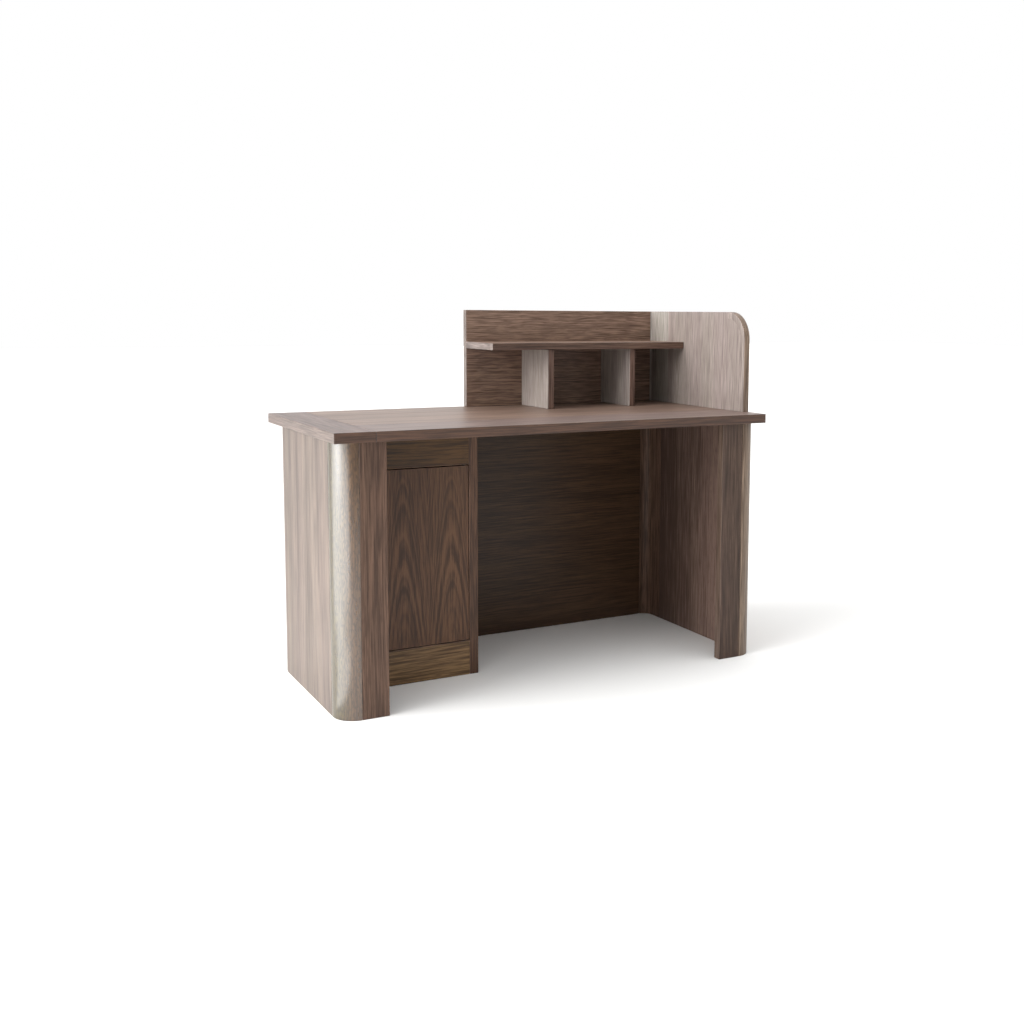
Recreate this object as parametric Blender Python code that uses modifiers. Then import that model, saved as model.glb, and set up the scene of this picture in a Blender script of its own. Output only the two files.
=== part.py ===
"""Reception desk in walnut-veneered boards.

A work surface stands on a rounded carcass with a cabinet at its left end and a kneehole beside it.
A low screen runs along the back and right edges of the work surface and holds a shelf on two dividers.
The cabinet has one inset door on pivot pins, held by a sprung push latch.

Metres, +Z up. The origin is on the floor under the middle of the work surface. The user sits on
the -Y side and faces +Y, with the cabinet on the left (-X).
"""

import math

import bmesh
import bpy
from mathutils import Matrix, Vector

# Work surface
DESK_LENGTH = 1.336
DESK_DEPTH = 0.646
DESK_HEIGHT = 0.750
TOP_THICKNESS = 0.027
LEFT_BORDER = 0.109
FRONT_BORDER = 0.185
TONGUE_WIDTH = 0.018
TONGUE_THICKNESS = 0.006
TONGUE_STOP = 0.030

# Carcass under the work surface
CARCASS_BOARD = 0.027
SIDE_OVERHANG = 0.010
FRONT_OVERHANG = 0.020
BACK_OVERHANG = 0.010
FRONT_POST_RADIUS = 0.060
FRONT_POST_LEG = 0.010
STILE_WIDTH = 0.073
REAR_LEFT_RADIUS = 0.125
REAR_RIGHT_RADIUS = 0.060
REAR_RIGHT_LEG = 0.044

# Cabinet
CABINET_SETBACK = 0.230
CABINET_REACH = 0.4955
BOTTOM_RAIL = 0.101
TOP_RAIL = 0.106
CABINET_PANEL = 0.021
DOOR_WIDTH = 0.365
DOOR_BOARD = 0.021
DOOR_GAP = 0.003
SHELF_LEVEL = 0.370
SHELF_SETBACK = 0.020
SHELF_CLEARANCE = 0.001
SHELF_PIN_RADIUS = 0.0025
SHELF_PIN_DEPTH = 0.009
SHELF_PIN_REACH = 0.008
SHELF_PIN_INSET = 0.040

# Door pivots and push latch
PIVOT_FROM_EDGE = 0.012
PIVOT_FROM_FACE = 0.008
PIVOT_RADIUS = 0.0025
PIVOT_DEPTH = 0.016
PIVOT_REACH = 0.010
COLLAR_RADIUS = 0.005
BUSH_RADIUS = 0.005
BUSH_END = 0.002
LATCH_WIDTH = 0.014
LATCH_LENGTH = 0.056
LATCH_TRAVEL = 0.004
LATCH_FROM_EDGE = 0.030
LATCH_FOOT_WIDTH = 0.032
LATCH_FOOT_LENGTH = 0.018
LATCH_FOOT_THICKNESS = 0.003
LATCH_SCREW_SPACING = 0.023
PLUNGER_RADIUS = 0.003
PLUNGER_HEAD_RADIUS = 0.0045
PLUNGER_HEAD = 0.003
PLUNGER_STEM = 0.034

# Screen and hutch on the work surface
SCREEN_BOARD = 0.021
SCREEN_HEIGHT = 0.307
SCREEN_INSET = 0.002
SCREEN_START = 0.6205
SCREEN_FRONT = 0.0855
SCREEN_POST_RADIUS = 0.025
SCREEN_POST_LEG = 0.1025
SCREEN_NOSE_RADIUS = 0.086
SHELF_DEPTH = 0.202
BAY_HEIGHT = 0.186
LEFT_BAY = 0.195
MIDDLE_BAY = 0.276
DIVIDER_SETBACK = 0.013
LIPPING = 0.020

# Fixings
DOWEL_RADIUS = 0.004
DOWEL_IN_TOP = 0.014
DOWEL_IN_BOARD = 0.018
DOWEL_MARGIN = 0.060
BACK_DOWEL_COUNT = 3
SIDE_DOWEL_COUNT = 2
BRACKET_LEG = 0.030
BRACKET_WIDTH = 0.024
BRACKET_THICKNESS = 0.002
BRACKET_SCREW_FROM_END = 0.010
KNEEHOLE_BRACKET_COUNT = 2
SCREW_RADIUS = 0.0018
SCREW_LENGTH = 0.014
SCREW_HEAD_RADIUS = 0.0035
SCREW_HEAD = 0.002
SCREW_HEAD_SINK = 0.0005

# Clearances and mesh detail
GAP = 0.0003
EDGE_EASE = 0.001
EASE_ANGLE = math.radians(40)
FLAT_ANGLE = math.radians(0.5)
ARC_STEPS = 20
ROUND_STEPS = 14
WELD = 0.00001
CUT_PAST = 0.002

# Places worked out from the sizes
LEFT_END = -DESK_LENGTH / 2
RIGHT_END = DESK_LENGTH / 2
FRONT_EDGE = -DESK_DEPTH / 2
BACK_EDGE = DESK_DEPTH / 2
TOP_UNDERSIDE = DESK_HEIGHT - TOP_THICKNESS
FIELD_LEFT = LEFT_END + LEFT_BORDER
FIELD_FRONT = FRONT_EDGE + FRONT_BORDER
TOP_MIDDLE = DESK_HEIGHT - TOP_THICKNESS / 2

CARCASS_LEFT = LEFT_END + SIDE_OVERHANG
CARCASS_RIGHT = RIGHT_END - SIDE_OVERHANG
CARCASS_FRONT = FRONT_EDGE + FRONT_OVERHANG
CARCASS_BACK = BACK_EDGE - BACK_OVERHANG
CARCASS_TOP = TOP_UNDERSIDE - GAP
INNER_LEFT = CARCASS_LEFT + CARCASS_BOARD
INNER_RIGHT = CARCASS_RIGHT - CARCASS_BOARD
INNER_BACK = CARCASS_BACK - CARCASS_BOARD
SIDE_FRONT = CARCASS_FRONT + FRONT_POST_RADIUS + FRONT_POST_LEG + GAP
LEFT_SIDE_BACK = CARCASS_BACK - REAR_LEFT_RADIUS - GAP
RIGHT_SIDE_BACK = CARCASS_BACK - REAR_RIGHT_RADIUS - REAR_RIGHT_LEG - GAP

CABINET_FRONT = CARCASS_FRONT + CABINET_SETBACK
CABINET_FRAME_BACK = CABINET_FRONT + CARCASS_BOARD
CABINET_RIGHT = LEFT_END + CABINET_REACH
CABINET_SIDE_FACE = CABINET_RIGHT - CARCASS_BOARD
DOOR_RIGHT = CABINET_SIDE_FACE - DOOR_GAP
DOOR_LEFT = DOOR_RIGHT - DOOR_WIDTH
DOOR_BACK = CABINET_FRONT + DOOR_BOARD
DOOR_BOTTOM = BOTTOM_RAIL + DOOR_GAP
TOP_RAIL_BOTTOM = TOP_UNDERSIDE - TOP_RAIL
DOOR_TOP = TOP_RAIL_BOTTOM - DOOR_GAP
JAMB_RIGHT = DOOR_LEFT - DOOR_GAP
PIVOT = Vector((DOOR_RIGHT - PIVOT_FROM_EDGE, CABINET_FRONT + PIVOT_FROM_FACE, 0))

LATCH_X = DOOR_LEFT + LATCH_FROM_EDGE
LATCH_Z = BOTTOM_RAIL + GAP + LATCH_WIDTH / 2
PLUNGER_TIP = DOOR_BACK + GAP
LATCH_FRONT = PLUNGER_TIP + PLUNGER_HEAD + LATCH_TRAVEL + GAP
LATCH_BACK = LATCH_FRONT + LATCH_LENGTH

SCREEN_LEFT = LEFT_END + SCREEN_START
SCREEN_RIGHT = RIGHT_END - SCREEN_INSET
SCREEN_BACK = BACK_EDGE - SCREEN_INSET
SCREEN_NOSE = FRONT_EDGE + SCREEN_FRONT
SCREEN_FOOT = DESK_HEIGHT + GAP
SCREEN_TOP = DESK_HEIGHT + SCREEN_HEIGHT
SCREEN_FACE_Y = SCREEN_BACK - SCREEN_BOARD
SCREEN_FACE_X = SCREEN_RIGHT - SCREEN_BOARD
SCREEN_POST_FRONT = SCREEN_BACK - SCREEN_POST_RADIUS - SCREEN_POST_LEG
HUTCH_FRONT = SCREEN_FACE_Y - GAP - SHELF_DEPTH
HUTCH_SHELF_BOTTOM = DESK_HEIGHT + BAY_HEIGHT
HUTCH_SHELF_TOP = HUTCH_SHELF_BOTTOM + SCREEN_BOARD
DIVIDER_FRONT = HUTCH_FRONT + DIVIDER_SETBACK
LEFT_DIVIDER = SCREEN_LEFT + LEFT_BAY
RIGHT_DIVIDER = LEFT_DIVIDER + SCREEN_BOARD + MIDDLE_BAY

# Finishes: colour, roughness and metallic value
WALNUT_FIELD = ((0.42, 0.33, 0.27), 0.40, 0.0)
WALNUT_BORDER = ((0.36, 0.30, 0.28), 0.40, 0.0)
WALNUT_UPRIGHT = ((0.34, 0.24, 0.19), 0.45, 0.0)
WALNUT_RAIL = ((0.31, 0.22, 0.14), 0.45, 0.0)
WALNUT_SCREEN = ((0.33, 0.25, 0.20), 0.45, 0.0)
BEECH = ((0.66, 0.50, 0.34), 0.60, 0.0)
PLYWOOD = ((0.62, 0.48, 0.33), 0.65, 0.0)
ZINC = ((0.62, 0.63, 0.64), 0.35, 1.0)
BRASS = ((0.70, 0.55, 0.27), 0.30, 1.0)
GREY_PLASTIC = ((0.24, 0.24, 0.25), 0.50, 0.0)

# Collections
PARTS = "reception desk"
CUTTERS = "cutters"


def clear_scene():
    """Remove the objects and collections of the open scene."""
    for obj in list(bpy.data.objects):
        bpy.data.objects.remove(obj, do_unlink=True)
    for collection in list(bpy.data.collections):
        bpy.data.collections.remove(collection)


def add_collection(name):
    """Add a collection to the scene."""
    bpy.context.scene.collection.children.link(bpy.data.collections.new(name))


def place_in(obj, collection):
    """Keep an object in one collection only."""
    for holder in list(obj.users_collection):
        holder.objects.unlink(obj)
    bpy.data.collections[collection].objects.link(obj)


def give_finish(obj, finish):
    """Give an object its own material."""
    colour, roughness, metallic = finish
    material = bpy.data.materials.new(obj.name)
    material.use_nodes = True
    shader = material.node_tree.nodes["Principled BSDF"]
    shader.inputs["Base Color"].default_value = (*colour, 1.0)
    shader.inputs["Roughness"].default_value = roughness
    shader.inputs["Metallic"].default_value = metallic
    material.diffuse_color = (*colour, 1.0)
    obj.data.materials.clear()
    obj.data.materials.append(material)


def ease_edges(obj):
    """Take the sharpness off the hard edges of a board."""
    bevel = obj.modifiers.new("eased edges", "BEVEL")
    bevel.width = EDGE_EASE
    bevel.segments = 1
    bevel.limit_method = "ANGLE"
    bevel.angle_limit = EASE_ANGLE


def smooth(mesh):
    """Shade round faces smooth and keep hard edges sharp."""
    mesh.shade_smooth()
    mesh.set_sharp_from_angle(angle=EASE_ANGLE)


def box(name, low, high):
    """Add a box between two corners, with its scale applied."""
    low = Vector(low)
    high = Vector(high)
    bpy.ops.mesh.primitive_cube_add(size=1, location=(low + high) / 2)
    obj = bpy.context.object
    obj.name = name
    obj.scale = high - low
    bpy.ops.object.transform_apply(location=False, rotation=False, scale=True)
    return obj


def board(name, low, high, finish):
    """Add a straight board with eased edges."""
    obj = box(name, low, high)
    place_in(obj, PARTS)
    give_finish(obj, finish)
    ease_edges(obj)
    return obj


def arc(centre, radius, start, end):
    """Points along an arc, from one angle in degrees to another."""
    points = []
    for step in range(ARC_STEPS + 1):
        angle = math.radians(start + (end - start) * step / ARC_STEPS)
        points.append((centre[0] + radius * math.cos(angle), centre[1] + radius * math.sin(angle)))
    return points


def rounded_rectangle(low, high, radii):
    """Outline of a rectangle whose corners, from the low one onwards, have radii of their own."""
    corners = (
        (low[0], low[1], 1, 1),
        (high[0], low[1], -1, 1),
        (high[0], high[1], -1, -1),
        (low[0], high[1], 1, -1),
    )
    outline = []
    for turn, ((x, y, inward_x, inward_y), radius) in enumerate(zip(corners, radii)):
        if radius > 0:
            centre = (x + inward_x * radius, y + inward_y * radius)
            outline += arc(centre, radius, 180 + 90 * turn, 270 + 90 * turn)
        else:
            outline.append((x, y))
    return outline


def bent_strip(corner, inward, radius, thickness, leg_x, leg_y):
    """Outline of a strip bent round a corner, with a straight leg along each side.

    corner is where the two outer sides would meet, and inward gives the signs of the way in from there.
    """
    inner = radius - thickness
    outline = arc((radius, radius), radius, 180, 270)
    if leg_x > 0:
        outline += [(radius + leg_x, 0), (radius + leg_x, thickness)]
    outline += arc((radius, radius), inner, 270, 180)
    if leg_y > 0:
        outline += [(thickness, radius + leg_y), (0, radius + leg_y)]
    return [(corner[0] + inward[0] * u, corner[1] + inward[1] * v) for u, v in outline]


def mesh_of(obj):
    """Evaluated mesh of an object in the world, welded and with flat faces whole."""
    graph = bpy.context.evaluated_depsgraph_get()
    mesh = bpy.data.meshes.new_from_object(obj.evaluated_get(graph))
    mesh.transform(obj.matrix_world)
    work = bmesh.new()
    work.from_mesh(mesh)
    bmesh.ops.remove_doubles(work, verts=work.verts, dist=WELD)
    bmesh.ops.dissolve_limit(work, angle_limit=FLAT_ANGLE, verts=work.verts, edges=work.edges)
    bmesh.ops.recalc_face_normals(work, faces=work.faces)
    work.to_mesh(mesh)
    work.free()
    return mesh


def extrude_outline(name, outline, low, high, upright=False):
    """Extrude a flat outline from low to high.

    The outline lies in plan and rises along +Z, or, upright, it lies in the YZ plane and runs along +X.
    """
    curve = bpy.data.curves.new(name, "CURVE")
    curve.dimensions = "2D"
    curve.fill_mode = "BOTH"
    curve.extrude = (high - low) / 2
    spline = curve.splines.new("POLY")
    spline.points.add(len(outline) - 1)
    for point, (x, y) in zip(spline.points, outline):
        point.co = (x, y, 0, 1)
    spline.use_cyclic_u = True
    drawn = bpy.data.objects.new(name + " outline", curve)
    place_in(drawn, PARTS)
    bpy.context.view_layer.update()
    mesh = mesh_of(drawn)
    bpy.data.objects.remove(drawn, do_unlink=True)
    turn = Matrix(((0, 0, 1, 0), (1, 0, 0, 0), (0, 1, 0, 0), (0, 0, 0, 1))) if upright else Matrix()
    middle = Matrix.Translation((0, 0, (low + high) / 2))
    mesh.transform(turn @ middle)
    mesh.name = name
    obj = bpy.data.objects.new(name, mesh)
    place_in(obj, PARTS)
    return obj


def shaped_board(name, outline, low, high, finish, upright=False):
    """Add a board cut or bent to an outline, with eased edges."""
    obj = extrude_outline(name, outline, low, high, upright)
    give_finish(obj, finish)
    smooth(obj.data)
    ease_edges(obj)
    return obj


def turned_mesh(name, profile):
    """Mesh of a turned piece about +Z, from (radius, height) points down its outer side."""
    mesh = bpy.data.meshes.new(name)
    points = [(radius, 0, height) for radius, height in profile]
    edges = [(index, index + 1) for index in range(len(profile) - 1)]
    mesh.from_pydata(points, edges, [])
    drawn = bpy.data.objects.new(name + " profile", mesh)
    place_in(drawn, PARTS)
    screw = drawn.modifiers.new("turned", "SCREW")
    screw.axis = "Z"
    screw.steps = ROUND_STEPS
    screw.render_steps = ROUND_STEPS
    screw.use_merge_vertices = True
    screw.merge_threshold = WELD
    bpy.context.view_layer.update()
    turned = mesh_of(drawn)
    turned.name = name
    bpy.data.objects.remove(drawn, do_unlink=True)
    smooth(turned)
    return turned


def add_copy(name, mesh, place, finish):
    """Add a piece that is a copy of a mesh, at a place given by a matrix."""
    obj = bpy.data.objects.new(name, mesh.copy())
    obj.data.name = name
    obj.matrix_world = place
    place_in(obj, PARTS)
    give_finish(obj, finish)
    return obj


def add_copies(name, mesh, places, finish):
    """Add a numbered copy of a mesh at each place."""
    for number, place in enumerate(places, 1):
        add_copy(f"{name}_{number}", mesh, place, finish)


def turn_from_z(direction):
    """Rotation that takes +Z to a direction."""
    return Vector((0, 0, 1)).rotation_difference(Vector(direction)).to_matrix().to_4x4()


def hole(start, direction, depth, radius):
    """One hole to drill: it starts a little outside the face and runs to a depth."""
    return (Vector(start), Vector(direction), depth, radius)


def combine(target, tool, operation):
    """Put a tool piece with the cutters and use it on a target."""
    place_in(tool, CUTTERS)
    tool.hide_render = True
    tool.display_type = "WIRE"
    boolean = target.modifiers.new(tool.name, "BOOLEAN")
    boolean.operation = operation
    boolean.solver = "EXACT"
    boolean.object = tool


def cut(target, cutter):
    """Take a cutter out of a piece."""
    combine(target, cutter, "DIFFERENCE")


def join(target, piece):
    """Make a piece part of a target."""
    combine(target, piece, "UNION")


def drill(target, holes):
    """Drill all the holes of one piece with one cutter."""
    work = bmesh.new()
    for start, direction, depth, radius in holes:
        length = depth + CUT_PAST
        middle = start + direction * (depth - CUT_PAST) / 2
        place = Matrix.Translation(middle) @ turn_from_z(direction)
        bmesh.ops.create_cone(
            work,
            cap_ends=True,
            segments=ROUND_STEPS,
            radius1=radius,
            radius2=radius,
            depth=length,
            matrix=place,
        )
    mesh = bpy.data.meshes.new(target.name + " holes")
    work.to_mesh(mesh)
    work.free()
    cut(target, bpy.data.objects.new(mesh.name, mesh))


def hang_on(obj, pivot):
    """Parent a piece to an empty and keep its place in the world."""
    obj.parent = pivot
    obj.location = obj.location - pivot.location


def spread(low, high, count):
    """Evenly spaced places from low to high."""
    return [low + (high - low) * index / (count - 1) for index in range(count)]


def build_top():
    """Work surface: a field panel with a left border and a front border on loose tongues."""
    low_z, high_z = TOP_UNDERSIDE, DESK_HEIGHT
    field = board(
        "desktop_field",
        (FIELD_LEFT + GAP, FIELD_FRONT + GAP, low_z),
        (RIGHT_END, BACK_EDGE, high_z),
        WALNUT_FIELD,
    )
    left = board(
        "desktop_left_border", (LEFT_END, FRONT_EDGE, low_z), (FIELD_LEFT, BACK_EDGE, high_z), WALNUT_BORDER
    )
    front = board(
        "desktop_front_border",
        (FIELD_LEFT + GAP, FRONT_EDGE, low_z),
        (RIGHT_END, FIELD_FRONT, high_z),
        WALNUT_BORDER,
    )
    half = TONGUE_WIDTH / 2
    tongue_low = TOP_MIDDLE - TONGUE_THICKNESS / 2
    tongue_high = TOP_MIDDLE + TONGUE_THICKNESS / 2
    tongues = (
        (
            "left_border_tongue",
            (FIELD_LEFT - half, FIELD_FRONT + TONGUE_STOP, tongue_low),
            (FIELD_LEFT + half, BACK_EDGE - TONGUE_STOP, tongue_high),
            left,
        ),
        (
            "front_border_tongue",
            (FIELD_LEFT + TONGUE_STOP, FIELD_FRONT - half, tongue_low),
            (RIGHT_END - TONGUE_STOP, FIELD_FRONT + half, tongue_high),
            front,
        ),
    )
    room = Vector((GAP, GAP, GAP))
    for name, low, high, border in tongues:
        tongue = box(name, low, high)
        place_in(tongue, PARTS)
        give_finish(tongue, PLYWOOD)
        for holder in (field, border):
            cut(holder, box(f"{name} groove in {holder.name}", Vector(low) - room, Vector(high) + room))
    return field, left


def build_carcass():
    """Rounded carcass under the work surface, open at the front beside the cabinet."""
    board(
        "left_front_stile",
        (CARCASS_LEFT + FRONT_POST_RADIUS + GAP, CARCASS_FRONT, 0),
        (CARCASS_LEFT + FRONT_POST_RADIUS + STILE_WIDTH, CARCASS_FRONT + CARCASS_BOARD, CARCASS_TOP),
        WALNUT_UPRIGHT,
    )
    board(
        "right_front_stile",
        (CARCASS_RIGHT - FRONT_POST_RADIUS - STILE_WIDTH, CARCASS_FRONT, 0),
        (CARCASS_RIGHT - FRONT_POST_RADIUS - GAP, CARCASS_FRONT + CARCASS_BOARD, CARCASS_TOP),
        WALNUT_UPRIGHT,
    )
    bent_boards = (
        ("left_front_post", (CARCASS_LEFT, CARCASS_FRONT), (1, 1), FRONT_POST_RADIUS, FRONT_POST_LEG),
        ("right_front_post", (CARCASS_RIGHT, CARCASS_FRONT), (-1, 1), FRONT_POST_RADIUS, FRONT_POST_LEG),
        ("rear_left_corner", (CARCASS_LEFT, CARCASS_BACK), (1, -1), REAR_LEFT_RADIUS, 0),
        ("rear_right_corner", (CARCASS_RIGHT, CARCASS_BACK), (-1, -1), REAR_RIGHT_RADIUS, REAR_RIGHT_LEG),
    )
    for name, corner, inward, radius, leg in bent_boards:
        outline = bent_strip(corner, inward, radius, CARCASS_BOARD, 0, leg)
        shaped_board(name, outline, 0, CARCASS_TOP, WALNUT_UPRIGHT)
    left_side = board(
        "left_side_panel",
        (CARCASS_LEFT, SIDE_FRONT, 0),
        (INNER_LEFT, LEFT_SIDE_BACK, CARCASS_TOP),
        WALNUT_UPRIGHT,
    )
    right_side = board(
        "right_side_panel",
        (INNER_RIGHT, SIDE_FRONT, 0),
        (CARCASS_RIGHT, RIGHT_SIDE_BACK, CARCASS_TOP),
        WALNUT_UPRIGHT,
    )
    modesty = board(
        "modesty_panel",
        (CARCASS_LEFT + REAR_LEFT_RADIUS + GAP, INNER_BACK, 0),
        (CARCASS_RIGHT - REAR_RIGHT_RADIUS - GAP, CARCASS_BACK, CARCASS_TOP),
        WALNUT_SCREEN,
    )
    return left_side, right_side, modesty


def cabinet_panel(name, front, low_z, clearance):
    """Level board inside the cabinet, cut round the bent rear corner."""
    corner_radius = REAR_LEFT_RADIUS - CARCASS_BOARD - clearance
    outline = rounded_rectangle(
        (INNER_LEFT + clearance, front),
        (CABINET_SIDE_FACE - clearance, INNER_BACK - clearance),
        (0, 0, 0, corner_radius),
    )
    return shaped_board(name, outline, low_z, low_z + CABINET_PANEL, WALNUT_UPRIGHT)


def build_cabinet(left_side):
    """Cabinet between the left side and the kneehole: frame, floor, shelf and shelf pins."""
    side = board(
        "cabinet_side",
        (CABINET_SIDE_FACE, CABINET_FRONT, 0),
        (CABINET_RIGHT, INNER_BACK - GAP, CARCASS_TOP),
        WALNUT_UPRIGHT,
    )
    board(
        "cabinet_left_jamb",
        (INNER_LEFT + GAP, CABINET_FRONT, 0),
        (JAMB_RIGHT, CABINET_FRAME_BACK, CARCASS_TOP),
        WALNUT_UPRIGHT,
    )
    rail_left = JAMB_RIGHT + GAP
    rail_right = CABINET_SIDE_FACE - GAP
    bottom_rail = board(
        "cabinet_bottom_rail",
        (rail_left, CABINET_FRONT, 0),
        (rail_right, CABINET_FRAME_BACK, BOTTOM_RAIL),
        WALNUT_RAIL,
    )
    top_rail = board(
        "cabinet_top_rail",
        (rail_left, CABINET_FRONT, TOP_RAIL_BOTTOM),
        (rail_right, CABINET_FRAME_BACK, CARCASS_TOP),
        WALNUT_RAIL,
    )
    floor = cabinet_panel("cabinet_floor", CABINET_FRAME_BACK + GAP, BOTTOM_RAIL - CABINET_PANEL, GAP)
    shelf_front = CABINET_FRAME_BACK + SHELF_SETBACK
    cabinet_panel("cabinet_shelf", shelf_front, SHELF_LEVEL, SHELF_CLEARANCE)

    pin_z = SHELF_LEVEL - GAP - SHELF_PIN_RADIUS
    pin_ys = (shelf_front + SHELF_PIN_INSET, LEFT_SIDE_BACK - SHELF_PIN_INSET)
    pin = turned_mesh(
        "shelf pin",
        (
            (0, SHELF_PIN_REACH),
            (SHELF_PIN_RADIUS, SHELF_PIN_REACH),
            (SHELF_PIN_RADIUS, -SHELF_PIN_DEPTH),
            (0, -SHELF_PIN_DEPTH),
        ),
    )
    places = []
    for holder, face, way in ((left_side, INNER_LEFT, 1), (side, CABINET_SIDE_FACE, -1)):
        spots = [Vector((face, y, pin_z)) for y in pin_ys]
        places += [Matrix.Translation(spot) @ turn_from_z((way, 0, 0)) for spot in spots]
        drill(
            holder,
            [hole(spot, (-way, 0, 0), SHELF_PIN_DEPTH + GAP, SHELF_PIN_RADIUS + GAP) for spot in spots],
        )
    add_copies("shelf_pin", pin, places, ZINC)
    return side, top_rail, bottom_rail, floor


def build_door(top_rail, bottom_rail):
    """Inset door on two pivot pins, which stand in the rails and turn in bushes in the door's edges."""
    pivot = bpy.data.objects.new("door_axis", None)
    pivot.location = PIVOT
    place_in(pivot, PARTS)

    door = board(
        "cabinet_door",
        (DOOR_LEFT, CABINET_FRONT, DOOR_BOTTOM),
        (DOOR_RIGHT, DOOR_BACK, DOOR_TOP),
        WALNUT_UPRIGHT,
    )
    bush_depth = PIVOT_REACH + GAP + BUSH_END
    bush = turned_mesh(
        "bush",
        (
            (0, bush_depth),
            (BUSH_RADIUS, bush_depth),
            (BUSH_RADIUS, 0),
            (PIVOT_RADIUS + GAP, 0),
            (PIVOT_RADIUS + GAP, PIVOT_REACH + GAP),
            (0, PIVOT_REACH + GAP),
        ),
    )
    collar_low = GAP
    collar_high = DOOR_GAP - GAP
    pin = turned_mesh(
        "pivot pin",
        (
            (0, DOOR_GAP + PIVOT_REACH),
            (PIVOT_RADIUS, DOOR_GAP + PIVOT_REACH),
            (PIVOT_RADIUS, collar_high),
            (COLLAR_RADIUS, collar_high),
            (COLLAR_RADIUS, collar_low),
            (PIVOT_RADIUS, collar_low),
            (PIVOT_RADIUS, -PIVOT_DEPTH),
            (0, -PIVOT_DEPTH),
        ),
    )
    ends = (
        ("lower", bottom_rail, BOTTOM_RAIL, DOOR_BOTTOM, 1),
        ("upper", top_rail, TOP_RAIL_BOTTOM, DOOR_TOP, -1),
    )
    door_holes = []
    for end, rail, rail_z, door_z, up in ends:
        rail_point = PIVOT + Vector((0, 0, rail_z))
        door_point = PIVOT + Vector((0, 0, door_z))
        drill(rail, [hole(rail_point, (0, 0, -up), PIVOT_DEPTH + GAP, PIVOT_RADIUS + GAP)])
        door_holes.append(hole(door_point, (0, 0, up), bush_depth + GAP, BUSH_RADIUS + GAP))
        way = turn_from_z((0, 0, up))
        add_copy(f"{end}_pivot_pin", pin, Matrix.Translation(rail_point) @ way, ZINC)
        sleeve = add_copy(f"{end}_pivot_bush", bush, Matrix.Translation(door_point) @ way, BRASS)
        hang_on(sleeve, pivot)
    drill(door, door_holes)
    hang_on(door, pivot)


def build_latch(floor, screw):
    """Push latch on the cabinet floor, whose sprung plunger holds off the back of the closed door."""
    half = LATCH_WIDTH / 2
    low_z = BOTTOM_RAIL + GAP
    body = box(
        "latch_body",
        (LATCH_X - half, LATCH_FRONT, low_z),
        (LATCH_X + half, LATCH_BACK, low_z + LATCH_WIDTH),
    )
    place_in(body, PARTS)
    give_finish(body, GREY_PLASTIC)
    foot_half = LATCH_FOOT_WIDTH / 2
    foot = box(
        "latch foot",
        (LATCH_X - foot_half, LATCH_BACK - LATCH_FOOT_LENGTH, low_z),
        (LATCH_X + foot_half, LATCH_BACK, low_z + LATCH_FOOT_THICKNESS),
    )
    join(body, foot)

    stem_end = PLUNGER_HEAD + PLUNGER_STEM
    bore_depth = PLUNGER_TIP + stem_end + LATCH_TRAVEL + GAP - LATCH_FRONT
    bore = hole((LATCH_X, LATCH_FRONT, LATCH_Z), (0, 1, 0), bore_depth, PLUNGER_RADIUS + GAP)
    screw_y = LATCH_BACK - LATCH_FOOT_LENGTH / 2
    foot_top = low_z + LATCH_FOOT_THICKNESS
    seats = [Vector((LATCH_X + side * LATCH_SCREW_SPACING / 2, screw_y, foot_top)) for side in (-1, 1)]
    through = LATCH_FOOT_THICKNESS + CUT_PAST
    drill(body, [bore] + [hole(seat, (0, 0, -1), through, SCREW_RADIUS + GAP) for seat in seats])
    into_floor = SCREW_LENGTH - LATCH_FOOT_THICKNESS
    floor_spots = [Vector((seat.x, seat.y, BOTTOM_RAIL)) for seat in seats]
    drill(floor, [hole(spot, (0, 0, -1), into_floor + GAP, SCREW_RADIUS + GAP) for spot in floor_spots])
    down = turn_from_z((0, 0, -1))
    heads = [Matrix.Translation(seat + Vector((0, 0, GAP))) @ down for seat in seats]
    add_copies("latch_screw", screw, heads, ZINC)

    plunger = turned_mesh(
        "plunger",
        (
            (0, stem_end),
            (PLUNGER_RADIUS, stem_end),
            (PLUNGER_RADIUS, PLUNGER_HEAD),
            (PLUNGER_HEAD_RADIUS, PLUNGER_HEAD),
            (PLUNGER_HEAD_RADIUS, 0),
            (0, 0),
        ),
    )
    tip = Matrix.Translation((LATCH_X, PLUNGER_TIP, LATCH_Z))
    add_copy("latch_plunger", plunger, tip @ turn_from_z((0, 1, 0)), GREY_PLASTIC)


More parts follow.
